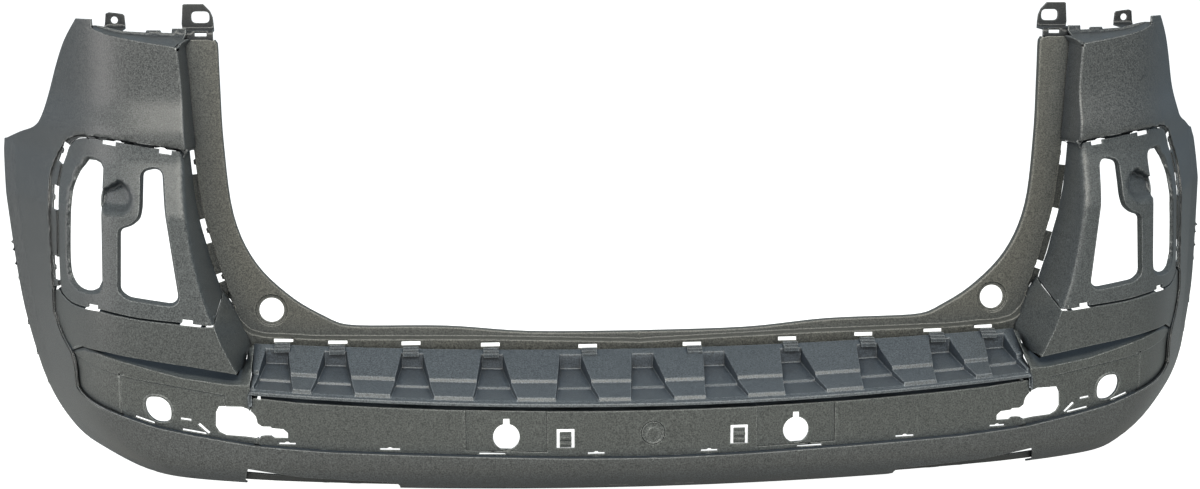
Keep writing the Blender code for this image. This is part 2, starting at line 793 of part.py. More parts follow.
def keyhole_plate(name, side):
    sheet = Sheet(keyhole_y)
    x0, x1 = KEYHOLE_PLATE
    floor = PLATE_FLOOR + GAP
    corners = [(x0 + GAP, centre_bottom(x0) + floor), (x1 - GAP, centre_bottom(x1) + floor)]
    corners += [(x1 - GAP, centre_top(x1)), (x0 + GAP, centre_top(x0))]
    sheet.outline(corners)
    round_part = circle(KEYHOLE, KEYHOLE_RADIUS, 24, 104.0, 436.0)
    notch = [(KEYHOLE[0] + 4.0, 108.0), (KEYHOLE[0] - 4.0, 108.0)]
    sheet.outline(round_part + notch)
    mesh = sheet.build()
    turn(mesh, (0.0, 14.4, 2.3), panel_top)
    return thicken(place(name, mesh, grained("panel_plastic", PANEL_GREY), side), 2.2)


def centre_disc():
    """Turned blanking disc with a raised hub and a ring groove."""
    profile = [(0.0, 1.0), (7.5, 1.0), (8.0, 1.8), (13.0, 1.8), (13.6, 0.4), (15.0, 0.4), (15.0, 3.2)]
    profile.append((0.0, 3.2))
    mesh = bmesh.new()
    verts = [mesh.verts.new(Vector((r, y, 0.0)) * MM) for r, y in profile]
    for a, b in zip(verts, verts[1:]):
        mesh.edges.new((a, b))
    geom = mesh.verts[:] + mesh.edges[:]
    bmesh.ops.spin(mesh, geom=geom, axis=(0, 1, 0), cent=(0, 0, 0), steps=32, angle=math.tau)
    bmesh.ops.remove_doubles(mesh, verts=mesh.verts, dist=1e-5)
    bmesh.ops.recalc_face_normals(mesh, faces=mesh.faces)
    return place("centre_disc", mesh, grained("panel_plastic", PANEL_GREY), 1.0, (0.0, CENTRE_FACE, 87.0))


def bar(profile, half):
    """A closed bar along x, from -half to half, with this (y, z) profile."""
    mesh = bmesh.new()
    face = mesh.faces.new([mesh.verts.new(Vector((-half, y, z)) * MM) for y, z in profile])
    made = bmesh.ops.extrude_face_region(mesh, geom=[face])["geom"]
    moved = [g for g in made if isinstance(g, bmesh.types.BMVert)]
    bmesh.ops.translate(mesh, verts=moved, vec=Vector((2 * half, 0.0, 0.0)) * MM)
    bmesh.ops.recalc_face_normals(mesh, faces=mesh.faces)
    return mesh


def latch_tongue(name, side):
    """A cantilever tongue with a ramped hook, its origin on the line where it bends."""
    x0, x1, z0, z1 = LATCH
    half = (x1 - x0) / 2 - LATCH_LEG
    middle = (x0 + x1) / 2
    height = z1 - z0 - LATCH_LEG
    profile = [(0.0, 0.6), (0.0, 5.0), (-1.0, 6.4), (-1.0, 9.4), (0.0, 10.0), (-2.8, 14.5), (0.0, 17.0)]
    profile += [(0.0, height), (2.2, height), (2.2, 0.6)]
    at = (side * middle, plate_y(middle, z0) + 0.4, z0)
    return place(name, bar(profile, half), grained("panel_plastic", PANEL_GREY), side, at)


# ---------------------------------------------------------------- step deck

STATIONS = (
    (122.0, 173.0, 173.0),
    (109.0, 169.0, 169.0),
    (107.6, 168.6, 147.5),
    (45.0, 148.0, 137.5),
    (42.5, 143.0, 134.0),
    (-5.0, 135.0, 130.8),
    (-7.5, 129.6, 129.4),
    (-13.6, 128.0, 128.0),
    (-14.4, 124.0, 124.0),
    (-4.0, 121.5, 121.5),
)


def deck_point(x, y, z):
    """Bends the straight step to the plan of the skin: straight at the back, crowned at the front."""
    forward = min(1.0, (122.0 - y) / 136.0)
    back_rise = 3.0 * (x / 537.0) ** 2 * (1.0 - forward)
    return Vector((x, y + REAR_CROWN * x * x * forward, z + lift(x) + back_rise))


def pocket_half(centre, y):
    front = 26.5 if abs(centre) > 500.0 else 29.5
    return lerp(15.5, front, min(1.0, max(0.0, (108.0 - y) / 113.0)))


def step_deck():
    centres = sorted({side * c for c in DECK_POCKETS for side in (-1.0, 1.0)})
    columns = [[deck_point(-DECK_END + 1.5, y, top) for y, top, _ in STATIONS]]
    for c in centres:
        for share, low in ((-1.0, False), (-0.97, True), (0.97, True), (1.0, False)):
            column = []
            for y, top, floor in STATIONS:
                column.append(deck_point(c + share * pocket_half(c, y), y, floor if low else top))
            columns.append(column)
    columns.append([deck_point(DECK_END - 1.5, y, top) for y, top, _ in STATIONS])
    mesh = bmesh.new()
    grid = [[mesh.verts.new(p * MM) for p in column] for column in columns]
    for left, right in zip(grid, grid[1:]):
        for j in range(len(STATIONS) - 1):
            mesh.faces.new((left[j], left[j + 1], right[j + 1], right[j]))
    deck = place("step_deck", mesh, grained("deck_plastic", DECK_GREY))
    thicken(deck, 2.6)
    for i, x in enumerate(clip_places()):
        seat = deck_point(x, 118.0, 172.0)
        cut(deck, block((27.0, 16.0, 26.0), seat), f"clip_seat_cutter_{i + 1}")
    return deck


def clip_places():
    return sorted({side * x for x in CLIP_CENTRES for side in (-1.0, 1.0)})


def sill_clip(number, x):
    """A folded clip in its seat at the back of the step: floor, upright back and a lip on top."""
    seat = deck_point(x, 118.0, 168.0)
    profile = [(-7.0, -4.0), (7.0, -4.0), (7.0, 3.6), (3.0, 3.6), (3.0, 2.0), (5.2, 2.0), (5.2, -2.2)]
    profile.append((-7.0, -2.2))
    return place(f"sill_clip_{number}", bar(profile, 12.0), grained("clip_plastic", CLIP_GREY), 1.0, seat)


# ---------------------------------------------------------------- top fixings


BRACKET_Y = 212.0
FOOT_Y = 181.0
SHELF_Z = 611.5
TAB_Y = 235.0
TAB_HOLE = (720.6, 627.0)


def flange_y(x, z):
    """Depth of the joggled flange above the crease on top of a horn."""
    return skin_y(x, z) + 4.0 + 0.1 * (741.0 - x)


def bracket_y(x, z):
    return FOOT_Y if z < SHELF_Z + 1.0 else BRACKET_Y


def tab_y(x, z):
    return flange_y(x, z) + WALL + 1.4 if z < 615.0 else TAB_Y


def top_bracket(name, side):
    """Black bracket on a post: a slotted foot, a shelf and an upright plate with an oval hole."""
    sheet = Sheet(bracket_y, 200.0)
    low, high = SHELF_Z, SHELF_Z + 2.0
    ear = [(630, 603), (630, low), (624, low), (622.5, low), (622, high)]
    plate = [(621.5, 649), (602, 649.5), (594, 645), (586, 637), (581.5, 622)]
    foot = [(581.7, high), (582, low), (582, 603)]
    sheet.outline(ear + plate + foot)
    sheet.line([(622.5, low), (582, low)])
    sheet.line([(622, high), (581.7, high)])
    sheet.outline(rounded([(592, 619), (616, 619), (616, 634), (592, 634)], 7.4, 4))
    sheet.outline([(589, 605), (604, 605), (604, 609.4), (589, 609.4)])
    return thicken(place(name, sheet.build(), grained("bracket_plastic", BRACKET_BLACK, 0.5), side), 2.6)


def screw_tab(name, side):
    """Tab with a screw hole behind the top of a horn, on a shelf from the horn's flange."""
    sheet = Sheet(tab_y, 200.0)
    right = [(708, 606), (736, 608), (735.5, 614), (735, 617), (733.5, 638)]
    sheet.outline(right + [(710, 637), (708.5, 617), (708, 614)])
    sheet.line([(735.5, 614), (708, 614)])
    sheet.line([(735, 617), (708.5, 617)])
    sheet.outline(circle(TAB_HOLE, 4.8, 16))
    return thicken(place(name, sheet.build(), grained("bracket_plastic", BRACKET_BLACK, 0.5), side), 2.6)


# ---------------------------------------------------------------- materials and assembly

COVER_GREY = (0.105, 0.108, 0.108)
FRAME_GREY = (0.105, 0.105, 0.098)
LAMP_GREY = (0.098, 0.104, 0.108)
BAND_GREY = (0.105, 0.108, 0.106)
PANEL_GREY = (0.115, 0.120, 0.115)
DECK_GREY = (0.108, 0.114, 0.120)
INSERT_GREY = (0.045, 0.045, 0.042)
CLIP_GREY = (0.090, 0.098, 0.108)
BRACKET_BLACK = (0.040, 0.040, 0.038)


def grained(name, colour, roughness=0.62):
    return material(name, colour, roughness)


for old in list(bpy.data.objects):
    bpy.data.objects.remove(old)

parts = bpy.data.collections.new("bumper_cover")
cutters = bpy.data.collections.new("cutters")
bpy.context.scene.collection.children.link(parts)
bpy.context.scene.collection.children.link(cutters)

datum = bpy.data.objects.new("datum", None)
datum.location = Vector((0.0, -REARMOST - DEPTH / 2, 0.0)) * MM
parts.objects.link(datum)

cover_skin()
tailgate_frame()
step_deck()
centre_panel()
centre_disc()
for word, hand in (("left", -1.0), ("right", 1.0)):
    lamp_pocket(f"{word}_lamp_pocket", hand)
    corner_band(f"{word}_corner_band", hand)
    corner_panel(f"{word}_corner_panel", hand)
    sensor_plate(f"{word}_sensor_plate", hand)
    lower_insert(f"{word}_lower_insert", hand)
    keyhole_plate(f"{word}_keyhole_plate", hand)
    latch_tongue(f"{word}_latch_tongue", hand)
    top_bracket(f"{word}_top_bracket", hand)
    screw_tab(f"{word}_screw_tab", hand)
for index, place_x in enumerate(clip_places()):
    sill_clip(index + 1, place_x)
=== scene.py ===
"""Looks of the rear bumper cover: finely moulded sheets with rounded edges in satin grained plastic.

Every piece stands for one CAD node, in the CAD frame. Lengths here are millimetres unless said otherwise.
Outlines are drawn as seen from behind the car, in (x, z), on the right-hand half; left pieces mirror them.
A sheet's depth is y, towards the front of the car, measured from the fit plane of the datum.
"""

import math

import bmesh
import bpy
import numpy as np
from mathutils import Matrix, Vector
from mathutils.geometry import delaunay_2d_cdt


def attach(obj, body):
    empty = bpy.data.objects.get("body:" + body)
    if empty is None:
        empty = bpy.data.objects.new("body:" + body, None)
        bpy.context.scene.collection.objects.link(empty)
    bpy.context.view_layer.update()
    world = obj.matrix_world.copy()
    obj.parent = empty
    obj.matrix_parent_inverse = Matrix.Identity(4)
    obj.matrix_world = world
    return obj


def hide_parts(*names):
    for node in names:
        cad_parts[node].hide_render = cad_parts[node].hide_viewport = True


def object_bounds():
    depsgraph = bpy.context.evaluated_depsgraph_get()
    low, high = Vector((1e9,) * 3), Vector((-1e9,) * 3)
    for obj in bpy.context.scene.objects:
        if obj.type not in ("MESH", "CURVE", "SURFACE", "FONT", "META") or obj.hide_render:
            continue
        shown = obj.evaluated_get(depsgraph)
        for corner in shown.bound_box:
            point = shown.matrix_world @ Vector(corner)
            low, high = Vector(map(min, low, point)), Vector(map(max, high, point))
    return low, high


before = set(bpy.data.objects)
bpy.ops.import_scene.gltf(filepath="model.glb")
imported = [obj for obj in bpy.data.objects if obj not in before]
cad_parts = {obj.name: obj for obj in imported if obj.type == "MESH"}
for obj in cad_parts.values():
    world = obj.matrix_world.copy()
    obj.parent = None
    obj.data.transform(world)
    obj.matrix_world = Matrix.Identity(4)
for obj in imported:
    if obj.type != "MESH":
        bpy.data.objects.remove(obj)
CAD_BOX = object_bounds()

MM = 0.001
REARMOST = -18
DATUM_Y = CAD_BOX[0][1] / MM - REARMOST
HALF_WIDTH = CAD_BOX[1][0] / MM
WALL = 2.8
EDGE_RADIUS = 0.8
SPACING = 9
SEAM = 0.03

CENTRE_FACE = -12
REAR_CROWN = 1.8e-4
SIDE_SLOPE = 1.45
CORNER_X = 745
CORNER_BLEND = 22
TUCK_TOP = 137
TUCK_RATE = 0.0055
SKIRT_TOP = 54
SKIRT_TUCK = 0.011
STEP_CROWN = 5.4e-5

ARCH_TOP = 444
ARCH_HEIGHT = 430
ARCH_LINEAR = 75
ARCH_QUARTIC = 85

POST_FOOT_Y = 150
POST_FOOT_Z = 197
POST_LEAN = 0.062

POCKET_RECESS = 5
RING_RECESS = 9.5
BAND_RECESS = 4
PANEL_RECESS = 6
INSET = 1.6

DECK_POCKETS = (0, 100.5, 209, 318.5, 423, 502)
DECK_END = 533
SILL_BOTTOM = 163
CLIP_CENTRES = (73.8, 210.1, 320.1, 420.6, 494.6)


# ---- surfaces


def table(stops):
    """A function that interpolates through (key, value) stops, flat beyond the ends."""
    keys, values = zip(*sorted(stops))
    return lambda at: np.interp(at, keys, values)


def ease(share):
    share = np.clip(share, 0, 1)
    return share * share * (3 - 2 * share)


def softplus(value, blend):
    return blend * np.logaddexp(0, value / blend)


def both_sides(places):
    return sorted({side * x for x in places for side in (-1, 1)})


def lift(x):
    """How much the step, the centre panel and the skirt line rise away from the centre line."""
    return STEP_CROWN * x * x


# How far forward the skin leans, by height.
LEAN = table(((200, 0), (232, 0.4), (250, 1.7), (372, 12), (400, 24), (440, 44),
              (452, 46.5), (474, 49), (484, 51.6), (492, 55.2), (500, 59.6), (508, 63.8),
              (518, 68), (530, 71.2), (545, 73), (627, 79.5)))


def skin_y(x, z):
    """Depth of the outer skin: crown, forward lean, corner and tuck."""
    x = np.abs(x)
    corner = CORNER_X - TUCK_RATE * np.maximum(0, TUCK_TOP - z) ** 2
    turn_in = SIDE_SLOPE * softplus(x - corner, CORNER_BLEND)
    tuck = SKIRT_TUCK * np.maximum(0, SKIRT_TOP - z) ** 2
    return CENTRE_FACE + REAR_CROWN * x * x + LEAN(z) + turn_in + tuck


def post_y(x, z):
    """Depth of the flat seal flange round the tailgate opening."""
    return POST_FOOT_Y + POST_LEAN * (z - POST_FOOT_Z)


def arch_x(z):
    """Distance of the wheel-arch edge from the centre line."""
    t = (ARCH_TOP - z) / ARCH_HEIGHT
    return HALF_WIDTH - ARCH_LINEAR * t - ARCH_QUARTIC * t**4


# ---- lines


def pairs(x, z):
    """Arrays of x and of z as one row for each point."""
    return np.stack([x.ravel(), z.ravel()], axis=1)


def smooth(points, steps=4):
    """Catmull-Rom curve through the points, with the ends kept."""
    points = np.asarray(points, float)
    ends = np.concatenate([points[:1], points, points[-1:]])
    share = np.arange(steps)[:, None] / steps
    out = []
    for a, b, c, d in zip(ends, ends[1:], ends[2:], ends[3:]):
        curve = 2 * b + (c - a) * share + (2 * a - 5 * b + 4 * c - d) * share**2
        out += list(0.5 * (curve + (3 * b - a - 3 * c + d) * share**3))
    return [tuple(p) for p in out] + [tuple(points[-1])]


def circle(centre, radius, count=32, start=0, end=360):
    angles = np.radians(np.linspace(start, end, count + 1))
    if end - start == 360:
        angles = angles[:-1]
    return [(centre[0] + radius * math.cos(a), centre[1] + radius * math.sin(a)) for a in angles]


def rounded(corners, radius, steps=4):
    """Closed outline with every corner rounded by the same radius where its sides allow it."""
    corners = np.asarray(corners, float)
    out = []
    for before, here, after in zip(np.roll(corners, 1, 0), corners, np.roll(corners, -1, 0)):
        sides = []
        for other in (before, after):
            size = np.linalg.norm(other - here)
            sides.append(here + (other - here) * min(radius / size, 0.45))
        for t in np.linspace(0, 1, steps + 1):
            out.append(tuple(sides[0] * (1 - t) ** 2 + here * 2 * t * (1 - t) + sides[1] * t * t))
    return out


def normals_of(line, closed=False):
    """Unit vectors to the left of each point of a line."""
    line = np.asarray(line, float)
    if closed:
        ahead = np.roll(line, -1, 0) - np.roll(line, 1, 0)
    else:
        ahead = np.gradient(line, axis=0)
    ahead /= np.linalg.norm(ahead, axis=1)[:, None]
    return np.stack([-ahead[:, 1], ahead[:, 0]], axis=1)


def shifted(line, distance):
    """An open line moved sideways to its left by the distance."""
    return [tuple(p) for p in np.asarray(line, float) + distance * normals_of(line)]


def grown(loop, distance):
    """A closed outline moved outwards."""
    flat = np.asarray(loop, float)
    after = np.roll(flat, -1, 0)
    area = np.sum(flat[:, 0] * after[:, 1] - after[:, 0] * flat[:, 1])
    return [tuple(p) for p in flat - np.sign(area) * distance * normals_of(flat, True)]


def raised(line, rise):
    return [(x, z + rise) for x, z in line]


def closed_line(loop):
    return list(loop) + list(loop[:1])


def notched(line, spans, depth, axis=0, bump=0):
    """A line with square notches cut into its left side, each between two x (axis 0) or z (axis 1) values.

    A bump, if given, is a small hook that stands up in the middle of each notch's floor."""
    line = np.asarray(line, float)
    walked = np.concatenate([[0], np.cumsum(np.linalg.norm(np.diff(line, axis=0), axis=1))])
    order = np.argsort(line[:, axis])
    marks = [(at, tuple(point)) for at, point in zip(walked, line)]

    def spot(at):
        return np.array([np.interp(at, walked, line[:, 0]), np.interp(at, walked, line[:, 1])])

    for span in spans:
        near, far = sorted(np.interp(span, line[order, axis], walked[order]))
        first, last = spot(near), spot(far)
        ahead = (last - first) / (far - near)
        side = np.array([-ahead[1], ahead[0]]) * depth
        marks = [m for m in marks if not near - 0.5 < m[0] < far + 0.5]
        marks += [(near, tuple(first)), (near + 0.01, tuple(first + side))]
        if bump:
            middle = (first + last) / 2 + side
            for step, height in ((-4.5, 0), (-3, bump), (3, bump), (4.5, 0)):
                point = middle + ahead * step - side / depth * height
                marks.append(((near + far) / 2 + 0.1 * step, tuple(point)))
        marks += [(far - 0.01, tuple(last + side)), (far, tuple(last))]
    return [point for _, point in sorted(marks)]


def finer(line, spacing, closed):
    """The same line with its long segments divided."""
    line = [np.asarray(p, float) for p in line]
    out = []
    for a, b in zip(line, line[1:] + (line[:1] if closed else [])):
        count = max(1, math.ceil(np.linalg.norm(b - a) / spacing))
        out += [a + (b - a) * k / count for k in range(count)]
    return np.array(out if closed else out + line[-1:])


def inside(points, loop):
    a = np.asarray(loop, float)
    b = np.roll(a, -1, 0)
    x, z = points[:, :1], points[:, 1:]
    rise = np.where(b[:, 1] == a[:, 1], 1, b[:, 1] - a[:, 1])
    crossed = (a[:, 1] > z) != (b[:, 1] > z)
    return (crossed & (x < a[:, 0] + (z - a[:, 1]) * (b[:, 0] - a[:, 0]) / rise)).sum(1) % 2 == 1


def distance(points, line):
    """Shortest distance from each point to an open line."""
    line = np.asarray(line, float)
    a, ray = line[:-1], np.diff(line, axis=0)
    away = points[:, None, :] - a
    share = ((away * ray).sum(2) / np.maximum((ray**2).sum(1), 1e-9)).clip(0, 1)
    return np.sqrt((((away - share[..., None] * ray) ** 2).sum(2)).min(1))


# ---- sheets


class Sheet:
    """A curved wall drawn by its outline as seen from behind, before it gets its thickness."""

    def __init__(self, depth, spacing=SPACING):
        self.depth = depth
        self.spacing = spacing
        self.loops = []
        self.loop_depths = []
        self.lines = []
        self.seeds = []
        self.steps = []

    def outline(self, points, depth=None):
        """An edge of the sheet. A depth rule of its own makes its last strip a sloping wall."""
        self.loops.append(finer(points, self.spacing, True))
        self.loop_depths.append(depth)

    def line(self, points):
        self.lines.append(finer(points, self.spacing, False))

    def crease(self, points, reach=3):
        """Rows beside a line where the surface bends, so that the bend comes out smooth."""
        for share in (-1, -0.35, 0, 0.35, 1):
            self.line(shifted(points, share * reach))

    def step(self, line, region, depth, reach=0.9):
        """Moves everything in a region to its own depth, behind a steep wall with soft edges on a line."""
        for share in (-2.2, -1, -0.5, 0, 0.5, 1, 2.2):
            self.line(shifted(line, share * reach))
        self.steps.append((np.asarray(line, float), region, depth, reach))

    def heights(self, points):
        y = self.depth(points[:, 0], points[:, 1])
        for line, region, depth, reach in self.steps:
            side = np.where(inside(points, region), 1, -1)
            share = ease(0.5 + side * distance(points, line) / (2 * reach))
            y = y + (depth(points[:, 0], points[:, 1]) - y) * share
        return y

    def holds(self, points):
        held = inside(points, self.loops[0])
        for hole in self.loops[1:]:
            held &= ~inside(points, hole)
        return held

    def grid(self):
        """Staggered rows of points, clear of every line."""
        low, high = self.loops[0].min(0), self.loops[0].max(0)
        rows = np.arange(low[1], high[1], self.spacing * 0.87)
        columns = np.arange(low[0], high[0], self.spacing)
        x, z = np.meshgrid(columns, rows)
        x = x + np.where(np.arange(len(rows)) % 2, 0.5, 0)[:, None] * self.spacing
        points = pairs(x, z)
        points = np.concatenate([points[self.holds(points)]] + self.seeds)
        for line in self.lines + [closed_line(loop) for loop in self.loops]:
            points = points[distance(points, line) > self.spacing * 0.4]
        return points

    def build(self):
        points, edges, rules = [], [], []
        for loop, depth in zip(self.loops, self.loop_depths):
            first = len(points)
            points += list(loop)
            rules += [depth] * len(loop)
            edges += [(first + i, first + (i + 1) % len(loop)) for i in range(len(loop))]
        for line in self.lines:
            first = len(points)
            points += list(line)
            edges += [(first + i, first + i + 1) for i in range(len(line) - 1)]
        flat = [Vector(p) for p in points + list(self.grid())]
        spots, _, faces, sources, *_ = delaunay_2d_cdt(flat, edges, [], 0, 0.02)
        spots = np.array(spots)
        faces = np.array([face[:3] for face in faces])
        faces = faces[self.holds(spots[faces].mean(1))]
        heights = self.heights(spots)
        for i, source in enumerate(sources):
            for rule in (rules[k] for k in source if k < len(rules)):
                if rule:
                    heights[i] = rule(spots[i, 0], spots[i, 1])
        mesh = bmesh.new()
        verts = [mesh.verts.new((x, y, z)) for (x, z), y in zip(spots, heights)]
        for face in faces:
            mesh.faces.new([verts[i] for i in face])
        for vert in [v for v in mesh.verts if not v.link_faces]:
            mesh.verts.remove(vert)
        return mesh


def free_edges(mesh, chosen=None):
    """(start, end) of each free edge, in the order its face goes round, where the rule takes both ends."""
    found = []
    for edge in mesh.edges:
        if len(edge.link_faces) != 1:
            continue
        loop = edge.link_loops[0]
        ends = (loop.vert, loop.link_loop_next.vert)
        found.append(ends)
    if chosen is None:
        return found
    ends = list({v for pair in found for v in pair})
    flat = np.array([(v.co.x, v.co.z) for v in ends])
    taken = {v for v, ok in zip(ends, chosen(flat)) if ok}
    return [pair for pair in found if taken.issuperset(pair)]


def outward(mesh, edges):
    """For each end of the free edges, the direction that leaves the sheet within its own surface."""
    mesh.normal_update()
    sums = {}
    for a, b in edges:
        side = (b.co - a.co).cross(a.normal + b.normal)
        side.normalize()
        for vert in (a, b):
            sums.setdefault(vert, []).append(side)
    out = {}
    for vert, sides in sums.items():
        total = sum(sides, Vector())
        total.normalize()
        out[vert] = total / max(0.6, total.dot(sides[0]))
    return out


def skirt_of(mesh, edges, rows):
    """Adds strips of faces beyond the free edges. Each row maps an edge's end to its next place."""
    previous = {v: v for ends in edges for v in ends}
    for row in rows:
        current = {v: mesh.verts.new(row[v]) for v in previous}
        for a, b in edges:
            mesh.faces.new((previous[b], previous[a], current[a], current[b]))
        previous = current
    return previous


def turn(mesh, chosen, back, radius=1.8):
    """Bends a stretch of a sheet's free edge over into a flange, round a small radius."""
    edges = free_edges(mesh, chosen)
    out = outward(mesh, edges)
    corner = {v: v.co.copy() for v in out}
    ends = {}
    for vert, spot in corner.items():
        move = back(spot.x, spot.z) if callable(back) else back
        ends[vert] = spot + Vector(move)
    rows = []
    for t in (0.35, 0.7, 1):
        row = {}
        for vert, middle in corner.items():
            start = middle - out[vert] * radius
            stop = middle + (ends[vert] - middle).normalized() * radius
            row[vert] = start * (1 - t) ** 2 + middle * (2 * t * (1 - t)) + stop * t * t
        rows.append(row)
    rows.append(ends)
    for vert, middle in corner.items():
        vert.co = middle - out[vert] * radius
    skirt_of(mesh, edges, rows)


def turn_forward(mesh, reach, radius, *lines):
    """Bends the free edge along the lines into a flange that points to the front of the car."""
    turn(mesh, near(*lines), (0, reach, 0), radius)


def mirrored(mesh):
    """Adds the left-hand half of a sheet drawn from the centre line outwards."""
    for face in [f for f in mesh.faces if all(abs(v.co.x) < 0.01 for v in f.verts)]:
        mesh.faces.remove(face)
    faces = [list(face.verts) for face in mesh.faces]
    twins = {}
    for vert in list(mesh.verts):
        if abs(vert.co.x) < 0.01:
            vert.co.x = 0
            twins[vert] = vert
        else:
            twins[vert] = mesh.verts.new((-vert.co.x, vert.co.y, vert.co.z))
    for verts in faces:
        mesh.faces.new([twins[v] for v in reversed(verts)])
    return mesh


def shell(mesh, wall=WALL, radius=EDGE_RADIUS):
    """Gives an open sheet its wall, with the front rim of its free edge rounded."""
    edges = free_edges(mesh)
    out = outward(mesh, edges)
    sheet_faces = list(mesh.faces)
    back = {}
    for vert in list(mesh.verts):
        leaning = min((abs(face.normal.dot(vert.normal)) for face in vert.link_faces), default=1)
        back[vert] = mesh.verts.new(vert.co - vert.normal * wall / max(0.75, leaning))
    rows = []
    for pull, drop in ((0.29, 0.29), (0, 1), (0, wall / radius - 0.7)):
        rows.append({v: v.co - out[v] * radius * pull - v.normal * radius * drop for v in out})
    for vert in out:
        back[vert].co -= out[vert] * radius * 0.6
    for vert in out:
        vert.co -= out[vert] * radius
    last = skirt_of(mesh, edges, rows)
    for a, b in edges:
        mesh.faces.new((last[b], last[a], back[a], back[b]))
    for face in sheet_faces:
        mesh.faces.new([back[v] for v in reversed(face.verts)])
    return mesh


def place(node, mesh, slot, side=1, body="cover"):
    """Makes the piece that stands for a CAD node, mirrored for the left side, in its slot's plastic."""
    bmesh.ops.translate(mesh, verts=mesh.verts, vec=(0, DATUM_Y, 0))
    bmesh.ops.scale(mesh, verts=mesh.verts, vec=(side * MM, MM, MM))
    if side < 0:
        bmesh.ops.reverse_faces(mesh, faces=mesh.faces)
    data = bpy.data.meshes.new(node + "_moulding")
    mesh.to_mesh(data)
    mesh.free()
    data.shade_smooth()
    data.materials.append(PLASTICS[slot])
    piece = bpy.data.objects.new(node + "_moulding", data)
    bpy.context.scene.collection.objects.link(piece)
    flat = piece.modifiers.new("flat_faces", "WEIGHTED_NORMAL")
    flat.weight = 50
    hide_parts(node)
    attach(piece, body)
    return piece


def bevelled(piece, width):
    """Rounds the sharp edges of a block-like piece."""
    soft = piece.modifiers.new("rounded_edges", "BEVEL")
    soft.width = width * MM
    soft.segments = 3
    soft.limit_method = "ANGLE"
    soft.angle_limit = math.radians(35)
    piece.modifiers.move(len(piece.modifiers) - 1, 0)
    return piece


# ---- shared lines, right-hand half

POCKET_LINE = smooth(
    [(614, 459), (655, 464), (701, 470), (735.5, 473), (748, 474), (762, 473.3), (776, 470), (787, 464.6),
     (799, 453), (808, 440), (815.5, 425), (821, 411), (821, 364), (820, 310), (819, 273), (817, 256)], 3)
PANEL_TOP = smooth([(617, 456), (655, 460.5), (701, 466.5), (737, 470.3), (752, 469.7)], 3)
PANEL_SIDE = smooth(
    [(752, 469.7), (763, 468.3), (772, 465.5), (785, 455), (791, 442), (797, 428), (801, 410), (803, 394),
     (802.5, 353.5), (804, 312), (804, 284), (803, 263)], 3)
PANEL_BOTTOM = smooth(
    [(803, 263), (801, 256), (793, 249.5), (782, 245.7), (767, 244.5), (734, 245.3), (705, 241.5),
     (678, 237.7), (624, 233.4), (597, 231), (580, 230)], 2)
BAND_LINE = [(806, 257), (801, 251.5), (792, 247), (782, 243.1), (767, 241.9), (734, 242.7), (705, 238.9),
             (678, 235.1), (624, 230.8), (590, 228)]
WING_LINE = smooth([(814.5, 258), (815, 225), (800.5, 195), (784.5, 176), (777.5, 150), (776.5, 131),
                    (762.5, 119.5), (742, 112)], 2)
SKIRT_LINE = [(708, 103), (658, 89.3), (610, 81), (531, 70.5), (428, 64), (250, 59.3), (110, 55.3), (0, 54)]
POST_LINE = [(620, 602), (618, 555), (615, 481), (612.5, 458)]
FRAME_EDGE = smooth(
    [(612.5, 458), (610, 453), (608, 432), (605, 405), (600, 369), (596, 350), (592, 336), (587, 318),
     (581, 296), (576, 281), (571, 267), (569, 259)], 2)
FRAME_CORNER = [(564, 240), (560, 221.5), (558, 208.5), (556, 195.5), (556, 172)]
FACET_EDGE = smooth(
    [(576.6, 259), (583.5, 281), (588.6, 296), (594, 318), (598.5, 336), (602, 350), (605.5, 369),
     (609, 391), (612.9, 432), (614.8, 455.5)], 2)
OPENING = [(579, 602), (575.6, 597)]
OPENING += smooth([(575, 588), (574, 542), (571, 461), (560, 362), (531, 295), (481, 245), (429, 214)], 5)
OPENING += smooth([(429, 214), (396, 206), (271, 203), (153, 193), (0, 191)], 5)[1:]
CREASE = [(617.5, 457), (615.5, 420), (612.5, 381), (605, 321), (594, 271), (580, 231)]
HORN_EDGE = [(624, 594), (620, 547), (617, 499), (614, 459), (613.6, 455)]
HORN_CREASE = [(741, 617), (724, 611), (701, 606), (673, 601), (646, 597), (624, 593.5)]
HORN_FOOT = [(741, 619), (724, 613), (705, 609), (673, 606.5), (624, 605.2)]
FRAME_SLOTS = ((418, 453), (322, 355), (268, 279))
TOP_SLOTS = ((629, 659), (700, 737))
TOP_NOTCHES = ((633, 650), (710, 730))
SIDE_SLOTS = ((428, 456), (366.5, 399.5), (269, 302))
LOW_SLOTS = ((595.5, 623.5), (736, 760))
LOW_NOTCHES = ((607, 621), (738, 753))

crease_z = table(HORN_CREASE)
foot_z = table(HORN_FOOT)
panel_inset = table(((500, 0), (620, PANEL_RECESS)))
sill_rise = table(((0, 0), (221, 8), (456, 13), (486, 16), (514, 17), (530, 20), (541, 24), (554, 37),
                   (563, 56)))
lip_flare = table(((115, 0), (210, 1), (430, 1), (452, 0)))
ring_depth = table(((765, RING_RECESS), (800, POCKET_RECESS)))


def skirt_edge(x):
    return 10 + 2.2e-5 * x * x


def near(*lines):
    """A rule that takes the points of a free edge that lie on any of these lines."""
    return lambda points: np.min([distance(points, line) for line in lines], axis=0) < 0.4


# ---- skin and frame

LIP_WIDTH = 24
LIP_FLARE = 0.5
TOP_END = 744
BOTTOM_RETURN = (0, 26, -9)
ARCH_RETURN = (-13, 7, 0)
LOWER_NOTCH = ((337, 0), (341, 7), (468, 12), (539, 21), (543.5, 0))
INSERT_TOP = ((343, 5.5), (468, 10.2), (549, 13))
INSERT_DEPTH = 9
FLANGE_OUT = 13


def flange_y(x):
    """Depth of the lip behind the top of a horn."""
    return 179.3 + 0.24 * (x - 628)


